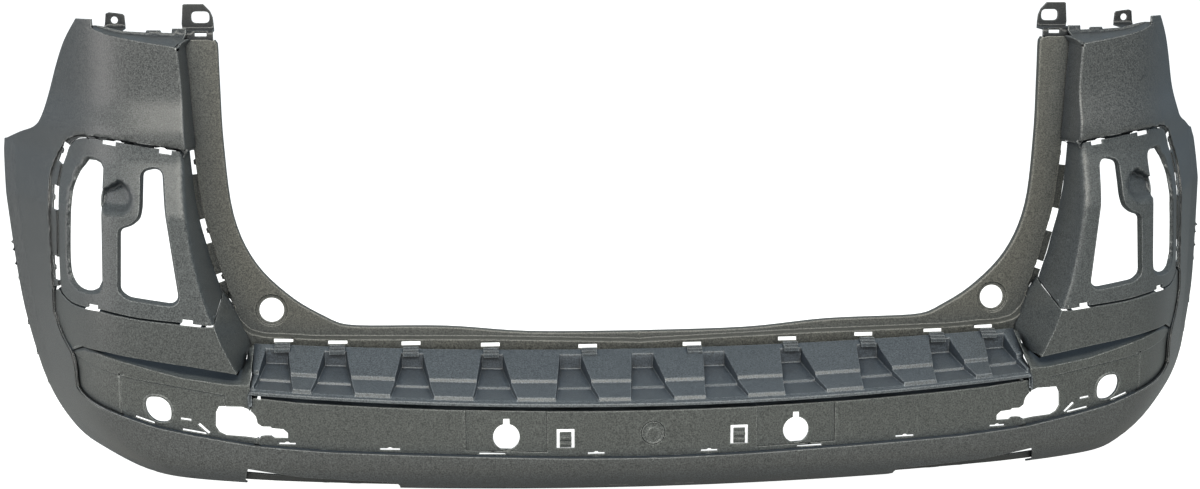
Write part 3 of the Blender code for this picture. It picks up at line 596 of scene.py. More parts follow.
def cover_y(x, z):
    """The skin with its wheel-arch lip, proud skirt and the joggle on top of a horn."""
    y = skin_y(x, z) + np.where(z < 110, panel_inset(x) - PANEL_RECESS, 0)
    y = y - LIP_FLARE * softplus(LIP_WIDTH - (arch_x(z) - x), 1.5) * lip_flare(z)
    low, high = crease_z(x), foot_z(x)
    share = np.clip((z - low) / (high - low), 0, 1) * np.clip((TOP_END - x) / 3, 0, 1)
    start = skin_y(x, np.minimum(z, low))
    return np.where(z > low, y + (flange_y(x) - start) * share - (y - start) * (share > 0), y)


def cover_outline():
    """Bottom edge, wheel arch, shoulder and horn top, from the centre line outwards and up."""
    notch = [(x, skirt_edge(x) + rise) for x, rise in LOWER_NOTCH]
    bottom = [(x, skirt_edge(x)) for x in (0, 90, 180, 270)] + notch
    bottom += [(x, skirt_edge(x)) for x in (610, 670, 725, 750)] + [(770, 26), (781, 31.5)]
    arch = [(arch_x(z), z) for z in np.linspace(38, 425, 40)]
    shoulder = smooth([(926, 444), (890, 460), (857, 473), (841, 490), (825, 530), (811, 565), (794, 599),
                       (771, 630)])
    top = [(745, 630), (744.3, 621.5), (730, 619), (705, 613.2), (673, 611.6), (671.4, 614.6), (653, 614.6)]
    top += [(651, 611.4), (637, 611), (636.2, 617), (617, 617.2), (617, 603)]
    return bottom + arch + shoulder + top


def horn_wall(x, z):
    """From the inner edge of a horn back to the face of the post."""
    return (-6.5, float(post_y(x, z) - 1.2 - cover_y(x, z)), 0)


def ring_y(x, z):
    """The ring round a lamp pocket: deep at the top, nearly flush where the corner turns away."""
    return skin_y(x, z) + ring_depth(x)


def on_bottom(points):
    x, z = points.T
    return (z < skirt_edge(x) + 1) & (x < 752)


def on_arch(points):
    x, z = points.T
    return (x > arch_x(z) - 1) & (z > 31) & (z < 446)


def cover_skin():
    sheet = Sheet(cover_y)
    ring_top = notched(shifted(PANEL_TOP, -9), TOP_SLOTS, 11.2)
    ring_side = notched(shifted(PANEL_SIDE, 0.8), SIDE_SLOTS, 11.5, axis=1, bump=2.6)
    sheet.outline(cover_outline() + HORN_EDGE + ring_top + ring_side + WING_LINE + SKIRT_LINE)
    step = shifted(POCKET_LINE, -0.9) + [(812.5, 253.5)]
    sheet.step(step, POCKET_LINE + [(817, 254.5), (790, 254.5), (590, 250), (590, 459)], ring_y)
    for line, rise in ((HORN_CREASE, 0), (HORN_CREASE, 1.2), (HORN_CREASE, -1.5), (HORN_FOOT, 0.4)):
        sheet.line(raised(line, rise))
    for x in (TOP_END - 3, TOP_END):
        sheet.line([(x, 617.5), (x, 629)])
    sheet.crease([(arch_x(z) - LIP_WIDTH, z) for z in np.linspace(445, 60, 40)])
    mesh = sheet.build()
    turn(mesh, on_bottom, BOTTOM_RETURN)
    turn(mesh, on_arch, ARCH_RETURN, 3.4)
    turn_forward(mesh, 14, 1.2, WING_LINE + SKIRT_LINE)
    turn(mesh, near([(617, 603)] + HORN_EDGE), horn_wall, 3)
    turn_forward(mesh, 9, 0.9, shifted(PANEL_SIDE, 0.8))
    place("cover_skin", shell(mirrored(mesh)), "cover_plastic")


DRAIN = (511, 231)
DRAIN_RADIUS = 16.8
DRAIN_SEAT = 21.6
CHANNEL_DEPTH = 9
SILL_FACE = 137
CLIP_SLOT_FOOT = 6
CLIP_SLOT_HALF = 13
CLIP_SLOT_HEIGHT = 5.4


def behind_post(x, z):
    return post_y(x, z) + CHANNEL_DEPTH


def sill_face(x, z):
    return np.full_like(x, SILL_FACE)


def tailgate_frame():
    sheet = Sheet(post_y)
    lower = [(x, SILL_BOTTOM + float(clip_rise(x))) for x in (531, 456, 340, 221, 110, 0)]
    lower.insert(0, (531, 172))
    flange = notched(shifted(FRAME_EDGE, FLANGE_OUT), FRAME_SLOTS, -11.6, axis=1, bump=-2.8)
    sheet.outline(OPENING[::-1] + POST_LINE + flange + [(577, 250), (566.5, 247)] + FRAME_CORNER + lower)
    channel = shifted(FRAME_EDGE, 0.9)
    sheet.step(channel, channel + [(567, 246), (640, 246), (640, 458)], behind_post)
    foot = [(x, 181.5 + float(sill_rise(x))) for x in (563, 554, 541, 530, 514, 486, 456, 340, 221, 110, 0)]
    shelf = shifted(foot, 1.4)
    sheet.step(shelf, shelf + [(-50, 181), (-50, 90), (620, 90), (620, 240)], sill_face, 1.3)
    for x in CLIP_CENTRES:
        low = SILL_BOTTOM + CLIP_SLOT_FOOT + float(clip_rise(x))
        left, right, high = x - CLIP_SLOT_HALF, x + CLIP_SLOT_HALF, low + CLIP_SLOT_HEIGHT
        sheet.outline([(left, low), (right, low), (right, high), (left, high)])
    seat = circle(DRAIN, DRAIN_SEAT)
    sheet.outline(circle(DRAIN, DRAIN_RADIUS))
    sheet.step(closed_line(seat), seat, lambda x, z: post_y(x, z) + 3)
    mesh = sheet.build()
    turn_forward(mesh, 12, 2.6, OPENING)
    turn_forward(mesh, 9, 1, FRAME_CORNER)
    place("tailgate_frame", shell(mirrored(mesh)), "frame_plastic")


# ---- corner pieces, built for one side

RIM_1 = smooth(
    [(761, 445), (773, 431.5), (783, 413), (789, 399), (790.6, 383), (791.6, 342), (793, 300), (792, 284),
     (786, 272), (779, 265.6), (766, 263.8), (746, 264.3), (735, 268), (729.5, 279), (728.5, 300)], 2)
RIM_1 += smooth(
    [(728, 350), (727.5, 389.5), (727, 415), (727.5, 432), (731, 440), (740, 444), (750, 445.5)], 2)
WINDOW_1 = smooth(
    [(752, 440), (758.5, 432), (766.5, 423), (773, 410), (778, 396), (780, 376), (782, 348), (783.5, 314),
     (783, 293), (780, 280), (771.5, 271), (760, 267), (747, 267.7), (737, 273)], 2)
WINDOW_1 += [(732, 282.5), (731, 350), (730.5, 389.5), (730, 415), (730, 430.6), (733.5, 437), (741, 440)]
WINDOW_2 = rounded(
    [(672, 429), (655, 433), (647, 428), (643, 383), (626.5, 264), (634, 257.5), (693, 264.5),
     (704.5, 273), (702, 354), (686, 359), (674, 369), (671.5, 384)], 6)
SCOOP = smooth(
    [(728, 407), (715, 413.5), (704.6, 418.5), (694, 413), (687, 403.5), (685, 393.8), (687.5, 384),
     (693, 376.5), (701, 372.6), (714, 373), (728, 376)], 3)
WINDOW_WALL = 11
SCOOP_DEPTH = 17
FACET_BLEND = 1.2

crease_x = table([(z, x) for x, z in CREASE])
facet_x = table([(z, x) for x, z in FACET_EDGE] + [(231, 566)])


def scoop(x, z):
    """Extra depth of the hollow beside the outer window: a sloping floor under an upright back wall."""
    x, z = np.atleast_1d(x), np.atleast_1d(z)
    flat = pairs(x, z)
    reach = np.where(inside(flat, SCOOP), distance(flat, SCOOP), 0)
    floor = (flat[:, 1] - 371) / 15
    return (SCOOP_DEPTH * np.minimum(ease(reach / 7), ease(floor))).reshape(x.shape)


def lamp_y(x, z):
    """Lamp face outboard of the crease, then a facet back to the post."""
    crease = crease_x(z)
    face = skin_y(np.maximum(x, crease), z) + POCKET_RECESS
    slope = (post_y(x, z) - 2 - skin_y(crease, z) - POCKET_RECESS) / (crease - facet_x(z) + 0.5)
    return face + scoop(x, z) + slope * softplus(crease - x, FACET_BLEND)


def window_1_y(x, z):
    return window_2_y(x, z) + 0.3 * float(scoop(x, z)[0])


def window_2_y(x, z):
    return float(skin_y(x, z)) + POCKET_RECESS + WINDOW_WALL


def lamp_pocket(node, side):
    sheet = Sheet(lamp_y, 5.5)
    top = notched(PANEL_TOP, TOP_NOTCHES, -5.5)
    bottom = notched(PANEL_BOTTOM, LOW_NOTCHES, -5)
    sheet.outline(FACET_EDGE + top + PANEL_SIDE[1:] + bottom[1:])
    sheet.outline(WINDOW_1, window_1_y)
    sheet.outline(WINDOW_2, window_2_y)
    for rim in (RIM_1, grown(RIM_1, 1.4), grown(WINDOW_2, 3.2), grown(WINDOW_2, 4.6)):
        sheet.line(closed_line(rim))
    sheet.line(SCOOP)
    x, z = np.meshgrid(np.arange(686, 728, 3.5), np.arange(374, 418, 3.5))
    hollow = pairs(x, z)
    sheet.seeds.append(hollow[inside(hollow, SCOOP) & (distance(hollow, SCOOP) > 1.6)])
    sheet.crease(CREASE, 2.6)
    mesh = sheet.build()
    turn_forward(mesh, 7, 1, PANEL_SIDE)
    turn_forward(mesh, 5, 1, PANEL_BOTTOM)
    turn_forward(mesh, 16, 0.8, [(580, 230), FACET_EDGE[0]])
    place(node, shell(mesh, 2.4), "lamp_plastic", side)


BAND_LOWER = [(550, 165), (612, 174), (669, 181), (728, 188), (766, 188.5), (783.5, 178.5)]
BAND_FACET = [(575.8, 258), (564, 241), (554, 221.5), (547.8, 208), (541.2, 195), (539.5, 186)]
BAND_RIDGE = [(578.5, 229), (570, 205), (550, 165)]
BAND_FLANGE = 9
BAND_GROOVE = 13

facet_edge_y = table(((165, 100), (186, 126), (195, 132), (208, 134), (221.5, 136), (241, 147), (256, 150)))
facet_edge_x = table([(z, x) for x, z in BAND_FACET] + [(165, 545)])
ridge_x = table([(z, x) for x, z in BAND_RIDGE] + [(258, 577.4)])


def band_y(x, z):
    """The band's face, and inboard of its ridge the facet that runs back to the tailgate frame."""
    ridge = ridge_x(z)
    face = skin_y(np.maximum(x, ridge), z) + BAND_RECESS
    above = np.clip((z - BAND_RIDGE[0][1]) / 27, 0, 1)
    start = face + (facet_edge_y(z) - face) * above
    share = np.clip((ridge - x) / (ridge - facet_edge_x(z)), 0, 1)
    return np.where(x < ridge, start + (facet_edge_y(z) - start) * share, face)


def behind_band(x, z):
    return band_y(x, z) + BAND_GROOVE


def corner_band(node, side):
    sheet = Sheet(band_y, 8)
    line = shifted(BAND_LINE, -0.9)
    upper = notched(shifted(BAND_LINE, -BAND_FLANGE), LOW_SLOTS, BAND_FLANGE - 0.2)
    outer = [(799.8, 196), (814.3, 225), (813.6, 253)]
    sheet.outline(BAND_LOWER + outer + upper + [(590, 228.6), (578.5, 229)] + BAND_FACET + [(545, 165)])
    sheet.step(line, line + [(590, 262), (830, 270), (830, 257)], behind_band)
    sheet.crease(BAND_RIDGE, 1.6)
    mesh = sheet.build()
    turn_forward(mesh, 9, 1.4, BAND_LOWER)
    turn_forward(mesh, 9, 1, BAND_FACET)
    turn_forward(mesh, 9, 1, outer)
    place(node, shell(mesh, 2.4), "band_plastic", side)


SHELF_EDGE = [(533, 151.5), (560, 151.5), (624, 158.5), (692, 174.5), (740, 184), (764, 183), (782.5, 175)]
SHELF_BACK = [(533, 189), (540, 187), (543, 172), (562, 161), (624, 167), (692, 181), (740, 189),
              (764, 190.5), (786, 181)]
PLATE_TOP = [(567, 137), (618, 144), (670, 151.5), (709, 158)]
PLATE_TOP_OUTER = [(710, 158.2), (745, 166), (779.5, 174)]
SENSOR_HOLE = [(676, 121), (671, 131), (653, 131), (643, 123), (640, 113), (641, 101), (648, 96), (662, 97),
               (673, 107)]
OUTER_OPENING = [(581, 94), (580, 113), (576, 121)]
MIDDLE_OPENING = [(566, 121.5), (545, 122), (536, 119), (533, 117)]
INNER_OPENING = [(529, 113), (526, 109), (524, 100), (518, 96), (507, 96), (505, 94), (490, 93), (484, 88),
                 (484, 81), (502, 81), (506, 84), (514, 84), (520, 83), (522.9, 79)]
PLATE_SLOTS = (
    ((628, 103.5), (614, 102), (614, 99.5), (628, 101)),
    ((602, 97), (588.5, 85), (591.5, 83), (605, 94.5)),
    ((690, 103.5), (664, 96), (664, 93.6), (690, 101)),
    ((626, 88.6), (594, 84.2), (594, 82), (626, 86.3)),
)

shelf_depth = table(((533, 78), (547, 68), (562, 46), (624, 44), (692, 34), (740, 16), (764, 13), (786, 12)))
shelf_edge_z = table(SHELF_EDGE)
shelf_back_z = table(SHELF_BACK)


def inset_y(x, z):
    return skin_y(x, z) + panel_inset(x) + INSET


def panel_y(x, z):
    """The corner panel, with the shelf that runs back from its upper edge to the foot of the band."""
    edge, back = shelf_edge_z(x), shelf_back_z(x)
    share = np.clip((z - edge) / (back - edge), 0, 1)
    return skin_y(x, z) + panel_inset(x) * (1 - share) + shelf_depth(x) * share


def corner_panel(node, side):
    sheet = Sheet(panel_y, 8)
    wing = [p for p in shifted(WING_LINE, -0.6) if p[1] < 176][::-1]
    outline = MIDDLE_OPENING[::-1] + [(566.4, 136.4)] + PLATE_TOP[1:-1] + [(709, 157.4), (709, 104)]
    sheet.outline(outline + wing + SHELF_BACK[::-1])
    sheet.line(SHELF_EDGE)
    sheet.line(raised(SHELF_EDGE, -1.5))
    sheet.line(raised(SHELF_EDGE[:-2], 1.5))
    step = [(705, 156.7), (709.5, 157.5)] + raised(PLATE_TOP_OUTER[1:], -0.9) + [(786, 175)]
    sheet.step(step, step + [(800, 90), (705, 90)], inset_y, 0.7)
    mesh = sheet.build()
    seam = [(709, 104), (709, 157.4)] + PLATE_TOP[1:-1][::-1] + [(566.4, 136.4), (566, 121.5)]
    turn_forward(mesh, 16, 0.8, wing, [wing[0], (709, 104)])
    turn_forward(mesh, 9, 1, seam, [(533, 117), (533, 189)])
    place(node, shell(mesh, 2.4), "panel_plastic", side)


def sensor_plate(node, side):
    sheet = Sheet(inset_y, 7)
    top = raised(PLATE_TOP[1:-1], -0.1) + [(708.9, 157.2)]
    bottom = [(708.9, 103.8), (658, 90), (610, 81.7), (531, 71.2), (523.2, 70.3)]
    opening = [(523.2, 79.2), (541, 81), (567, 82), (576, 86)] + OUTER_OPENING + [(566.5, 121.4)]
    sheet.outline([(566.5, 136.3)] + top + bottom + opening)
    hole = rounded(SENSOR_HOLE, 7)
    sheet.outline(hole)
    rim = grown(hole, 3)
    sheet.step(closed_line(rim), rim, lambda x, z: inset_y(x, z) - 0.9, 0.7)
    for slot in PLATE_SLOTS:
        sheet.outline(slot)
    mesh = sheet.build()
    turn_forward(mesh, 7, 1, closed_line(hole))
    turn_forward(mesh, 8, 1, [(566.5, 121.4), (566.5, 136.3)] + top + bottom[:1])
    turn_forward(mesh, 8, 0.5, bottom[-2:] + opening[:1])
    place(node, shell(mesh, 2.4), "panel_plastic", side)


def lower_insert(node, side):
    sheet = Sheet(lambda x, z: cover_y(x, z) + INSERT_DEPTH)
    bottom = [(x, skirt_edge(x) + 1) for x in (339, 410, 480, 549)]
    top = [(x, skirt_edge(x) + rise) for x, rise in INSERT_TOP]
    sheet.outline(bottom + top[::-1])
    place(node, shell(sheet.build(), 2.4), "insert_plastic", side)


# ---- centre

KEYHOLE = (195, 84)
KEYHOLE_RADIUS = 17.6
KEYHOLE_PLATE = (141, 249)
PLATE_FLOOR = 6
LATCH = (105, 128.5, 68.5, 94)
LATCH_LEG = 3.8
SNAP_SLOTS = ((76, 11), (214, 17), (349, 13), (485, 11))
DISC_CENTRE = (0, 87)
DISC_SEAT = 15.8

skirt_z = table(SKIRT_LINE)


def centre_top(x):
    return 117.5 + lift(x)


def centre_bottom(x):
    return float(skirt_z(x)) + 1


def plate_y(x, z):
    return skin_y(x, z) + 0.8


def snap_slot(x, half):
    """A flat slot with a peak in the middle of its upper side."""
    z = centre_bottom(x) + (1.6 if half > 15 else 3.8)
    left = [(x - half, z), (x - half, z + 2), (x - 3.4, z + 2), (x - 1.6, z + 3.4)]
    right = [(2 * x - a, b) for a, b in reversed(left)]
    return left + right


def centre_panel():
    sheet = Sheet(plate_y)
    x0, x1 = KEYHOLE_PLATE
    top = [(x, centre_top(x)) for x in (470, 427, 360, 300)] + [(x1, centre_top(x1))]
    dip = [(x1, centre_bottom(x1) + PLATE_FLOOR), (x0, centre_bottom(x0) + PLATE_FLOOR)]
    dip += [(x0, centre_top(x0)), (x0 - 2, centre_top(x0)), (60, centre_top(60)), (0, centre_top(0))]
    end = [(532.4, 115.5), (532.4, 127), (531.4, 132.4), (528, 134.6), (519, 134.2)]
    side = [end[0]] + INNER_OPENING + [(522.9, centre_bottom(522))]
    bottom = [(x, centre_bottom(x)) for x in (0, 110, 195, 250, 340, 428)]
    sheet.outline(bottom + side[::-1] + end[1:] + top + dip)
    left, right, low, high = LATCH
    sheet.outline([(left, low), (left, high), (right, high), (right, low)])
    for x, half in SNAP_SLOTS:
        sheet.outline(snap_slot(x, half))
    seat = circle(DISC_CENTRE, DISC_SEAT, 16, -90, 90)
    sheet.step(seat, seat, lambda x, z: plate_y(x, z) + 2, 0.6)
    mesh = sheet.build()
    turn_forward(mesh, 6, 0.6, dip[:3], [(x1, centre_top(x1)), dip[0]])
    turn(mesh, lambda p: (p[:, 1] > centre_top(p[:, 0]) - 0.8) & (p[:, 0] < 520), (0, 30, 5), 1.6)
    turn(mesh, near(end), (0, 34, 9), 1.2)
    turn_forward(mesh, 8, 0.5, [INNER_OPENING[-1], (522.9, centre_bottom(522))])
    place("centre_panel", shell(mirrored(mesh), 2.6), "panel_plastic")


def keyhole_plate(node, side):
    sheet = Sheet(lambda x, z: plate_y(x, z) + INSET, 6)
    x0, x1 = KEYHOLE_PLATE
    floor = PLATE_FLOOR + SEAM
    corners = [(x0 + SEAM, centre_bottom(x0) + floor), (x1 - SEAM, centre_bottom(x1) + floor)]
    corners += [(x1 - SEAM, centre_top(x1)), (x0 + SEAM, centre_top(x0))]
    sheet.outline(corners)
    hole = circle(KEYHOLE, KEYHOLE_RADIUS, 30, 104, 436) + [(199, 108.5), (191, 108.5)]
    sheet.outline(hole)
    mesh = sheet.build()
    turn_forward(mesh, 6, 0.8, corners[:2], corners[1:3], [corners[3], corners[0]])
    turn(mesh, lambda p: p[:, 1] > centre_top(p[:, 0]) - 0.8, (0, 14.4, 2.3), 1.4)
    turn_forward(mesh, 3, 0.8, closed_line(hole))
    place(node, shell(mesh, 2.2, 0.6), "panel_plastic", side)


def revolved(profile, count=48):
    """A closed body turned round the y axis from (radius, y) points."""
    mesh = bmesh.new()
    verts = [mesh.verts.new((r, y, 0)) for r, y in profile]
    for a, b in zip(verts, verts[1:]):
        mesh.edges.new((a, b))
    geom = mesh.verts[:] + mesh.edges[:]
    bmesh.ops.spin(mesh, geom=geom, axis=(0, 1, 0), cent=(0, 0, 0), steps=count, angle=math.tau)
    bmesh.ops.remove_doubles(mesh, verts=mesh.verts, dist=0.01)
    bmesh.ops.recalc_face_normals(mesh, faces=mesh.faces)
    return mesh


def centre_disc():
    """Turned blanking disc with a raised rim, a groove and a hub."""
    mesh = revolved([(0, 0.7), (6.8, 0.7), (7.4, 1), (8, 1.8), (12.6, 1.8), (13.2, 1.4), (13.8, 0.4),
                     (14.9, 0.4), (15.3, 0.8), (15.3, 2.4), (0, 2.4)])
    bmesh.ops.translate(mesh, verts=mesh.verts, vec=(0, CENTRE_FACE - 0.2, DISC_CENTRE[1]))
    place("centre_disc", mesh, "panel_plastic")


def extruded(profile, half):
    """A closed bar along x from its (y, z) profile."""
    mesh = bmesh.new()
    face = mesh.faces.new([mesh.verts.new((-half, y, z)) for y, z in profile])
    made = bmesh.ops.extrude_face_region(mesh, geom=[face])["geom"]
    moved = [g for g in made if isinstance(g, bmesh.types.BMVert)]
    bmesh.ops.translate(mesh, verts=moved, vec=(2 * half, 0, 0))
    bmesh.ops.recalc_face_normals(mesh, faces=mesh.faces)
    return mesh


def latch_tongue(node, side):
    """A cantilever tongue with two ramped ridges, rooted at its foot."""
    x0, x1, z0, z1 = LATCH
    height = z1 - z0 - LATCH_LEG
    middle = (x0 + x1) / 2
    front = [(0, 0.6), (0, 3.4), (-2.2, 4.6), (-2.2, 7.6), (0, 8.4)]
    front += [(0, 11), (-2.6, 12.2), (-2.6, 15.4), (0, 16.2), (0, height)]
    mesh = extruded(front + [(2.2, height), (2.2, 0.6)], (x1 - x0) / 2 - LATCH_LEG)
    at = (middle, float(plate_y(middle, z0)) + 0.4, z0)
    bmesh.ops.translate(mesh, verts=mesh.verts, vec=at)
    bevelled(place(node, mesh, "panel_plastic", side, node.replace("_tongue", "")), 0.45)


# ---- step deck

# The step's section from back to front: depth, top of a rib and floor of a pocket.
STATIONS = (
    (122, 173, 173), (109, 169, 169), (107.6, 168.6, 147.5), (45, 148, 137.5),
    (42.5, 143, 134), (-5, 135, 130.8), (-7.5, 129.6, 129.4), (-13.6, 128, 128),
    (-14.4, 124, 124), (-4, 121.5, 121.5),
)
DECK_BACK = 122
DECK_LENGTH = 136
END_LIFT = 3
LIFT_END = 537
POCKET_BACK = 108
POCKET_LENGTH = 113
POCKET_BACK_HALF = 15.5
POCKET_FRONT_HALF = 29.5
END_POCKET_FRONT_HALF = 26.5
POCKET_DRAFT = 1.6
WALL_SHARES = (0, 0.15, 0.5, 0.85, 1)
END_DROP = 18
CLIP_HALF = 10.5
CLIP_PROFILE = ((-8, -7), (6, -7), (6, 4.4), (2, 4.4), (2, 1.4), (-3, 1.4), (-3, -1.6),
                (-8, -1.6))

clip_rise = table(((0, 0), (221, 8), (456, 17), (537, 23)))


def deck_point(x, y, z):
    """Bends the straight step to the plan of the skin: straight at the back, crowned at the front."""
    forward = min(1, (DECK_BACK - y) / DECK_LENGTH)
    end_lift = END_LIFT * (x / LIFT_END) ** 2 * (1 - forward)
    return Vector((x, y + REAR_CROWN * x * x * forward, z + lift(x) + end_lift))


def pocket_half(centre, y):
    front = END_POCKET_FRONT_HALF if abs(centre) == DECK_POCKETS[-1] else POCKET_FRONT_HALF
    share = min(1, max(0, (POCKET_BACK - y) / POCKET_LENGTH))
    return POCKET_BACK_HALF + (front - POCKET_BACK_HALF) * share


def softened(rows, reach=1.3):
    """The same rows of numbers with each corner between them rounded off."""
    rows = np.asarray(rows, float)
    out = [rows[0]]
    for before, here, after in zip(rows, rows[1:], rows[2:]):
        sides = []
        for other in (before, after):
            size = max(math.hypot(*(other - here)[:2]), 1e-6)
            sides.append(here + (other - here) * min(reach / size, 0.4))
        out += [sides[0], 0.25 * sides[0] + 0.5 * here + 0.25 * sides[1], sides[1]]
    return np.array(out + [rows[-1]])


def step_deck():
    """Pockets between ribs, as columns of points that follow the step's section."""
    rows = softened(STATIONS)
    columns = [[deck_point(-DECK_END, y, top - drop) for y, top, _ in rows] for drop in (END_DROP, 0)]
    down = list(enumerate(WALL_SHARES))
    for c in both_sides(DECK_POCKETS):
        for side, k, share in [(-1, *row) for row in down] + [(1, *row) for row in reversed(down)]:
            inset = POCKET_DRAFT * k / (len(WALL_SHARES) - 1)
            column = []
            for y, top, floor in rows:
                x = c + side * (pocket_half(c, y) - inset)
                column.append(deck_point(x, y, top + (floor - top) * share))
            columns.append(column)
    columns += [[deck_point(DECK_END, y, top - drop) for y, top, _ in rows] for drop in (0, END_DROP)]
    mesh = bmesh.new()
    grid = [[mesh.verts.new(p) for p in column] for column in columns]
    for left, right in zip(grid, grid[1:]):
        for j in range(len(rows) - 1):
            mesh.faces.new((left[j], left[j + 1], right[j + 1], right[j]))
    place("step_deck", shell(mesh, 2.6), "deck_plastic")


def sill_clip(number, x):
    """A folded clip in its seat at the back of the step: floor, upright back and a lip on top."""
    mesh = extruded(CLIP_PROFILE, CLIP_HALF)
    seat = deck_point(x, 112, 172)
    bmesh.ops.translate(mesh, verts=mesh.verts, vec=seat)
    bevelled(place(f"sill_clip_{number}", mesh, "clip_plastic"), 0.4)


# ---- top fixings

BRACKET_Y = 212
FOOT_Y = 181
SHELF_Z = 613.8
TAB_Y = 235
TAB_HOLE = (721, 627)


def bracket_y(x, z):
    return FOOT_Y + (BRACKET_Y - FOOT_Y) * np.clip((z - SHELF_Z) / 1.6, 0, 1)


def top_bracket(node, side):
    """Black bracket on a post: a slotted foot, a shelf and an upright plate with a round-ended hole."""
    sheet = Sheet(bracket_y, 6)
    low, high = SHELF_Z, SHELF_Z + 1.6
    ear = [(628, 597), (628, low), (626, high), (627, 622), (625, 648), (623, 649.2)]
    sheet.outline(ear + [(597, 649.2), (588, 639.6), (584.6, 631.4), (583, high), (581.5, low), (581.5, 597)])
    sheet.line([(628, low), (581.5, low)])
    sheet.line([(628, high), (583, high)])
    sheet.outline(rounded([(589, 623.5), (613.5, 623.5), (613.5, 639), (589, 639)], 6.5))
    sheet.outline(rounded([(590, 606.4), (606, 606.4), (606, 612.2), (590, 612.2)], 1.2, 2))
    place(node, shell(sheet.build(), 3.4, 0.7), "bracket_plastic", side)


def tab_y(x, z):
    base = flange_y(x) + 4
    return base + (TAB_Y - base) * np.clip((z - 614) / 3, 0, 1)


def screw_tab(node, side):
    """Tab with a screw hole behind the top of a horn, on a shelf from the horn's flange."""
    sheet = Sheet(tab_y, 5)
    sheet.outline([(705, 609), (736, 611), (735.5, 616), (734, 622), (732.6, 636), (728, 637.8),
                   (709.4, 635.4), (707.2, 633), (706, 617)])
    for z in (614, 617):
        sheet.line([(735.5, z), (706, z)])
    sheet.outline(circle(TAB_HOLE, 4.8, 20))
    place(node, shell(sheet.build(), 2.6, 0.7), "bracket_plastic", side)


# ---- materials

# Radius of the rounded-normal mask that places the painted edge highlight.
EDGE_REACH = 0.0016
# Reach of the painted shade that darkens recesses and pockets.
SHADE_REACH = 0.045
# Reach of the painted shade in narrow seams and gaps between parts.
SEAM_SHADE_REACH = 0.007
GRAIN_SCALE = 540
BUMP_SCALE = 760
CLOUD_SCALE = 7
GRAIN = 0.6
# Painted shade colour: the plastic turned cooler and bluer where recesses are shaded.
SHADE_TINT = (0.78, 0.9, 1.08)


def node_of(tree, kind, **values):
    node = tree.nodes.new("ShaderNode" + kind)
    for name, value in values.items():
        if name in node.inputs:
            node.inputs[name].default_value = value
        else:
            setattr(node, name, value)
    return node


def noise(tree, coords, scale, detail, roughness=0.5):
    made = node_of(tree, "TexNoise", Scale=scale, Detail=detail, Roughness=roughness)
    tree.links.new(coords.outputs["Object"], made.inputs["Vector"])
    return made.outputs["Fac"]


def ranged(tree, value, low, high, from_low=0.3, from_high=0.7):
    made = node_of(tree, "MapRange")
    made.inputs["From Min"].default_value = from_low
    made.inputs["From Max"].default_value = from_high
    made.inputs["To Min"].default_value = low
    made.inputs["To Max"].default_value = high
    tree.links.new(value, made.inputs["Value"])
    return made.outputs["Result"]


def multiplied(tree, a, b):
    made = node_of(tree, "Math", operation="MULTIPLY")
    tree.links.new(a, made.inputs[0])
    tree.links.new(b, made.inputs[1])
    return made.outputs[0]


def edge_turn(tree):
    """How far the rounded normal leaves the plain one: nothing on a flat face, more on an edge."""
    soft = node_of(tree, "Bevel", Radius=EDGE_REACH, samples=4)
    plain = node_of(tree, "NewGeometry")
    made = node_of(tree, "VectorMath", operation="DISTANCE")
    tree.links.new(soft.outputs["Normal"], made.inputs[0])
    tree.links.new(plain.outputs["Normal"], made.inputs[1])
    return made.outputs["Value"]


# Ambient occlusion: how open each spot is, used to paint shade into recesses and seams.
def openness(tree, reach):
    return node_of(tree, "AmbientOcclusion", Distance=reach, samples=4).outputs["AO"]


def mixed(tree, first, second, share):
    """The first colour, or a node's colour, turning into the second as the share grows."""
    made = node_of(tree, "Mix", data_type="RGBA", blend_type="MIX")
    if isinstance(first, tuple):
        made.inputs["A"].default_value = (*first, 1)
    else:
        tree.links.new(first, made.inputs["A"])
    made.inputs["B"].default_value = (*second, 1)
    tree.links.new(share, made.inputs["Factor"])
    return made.outputs["Result"]


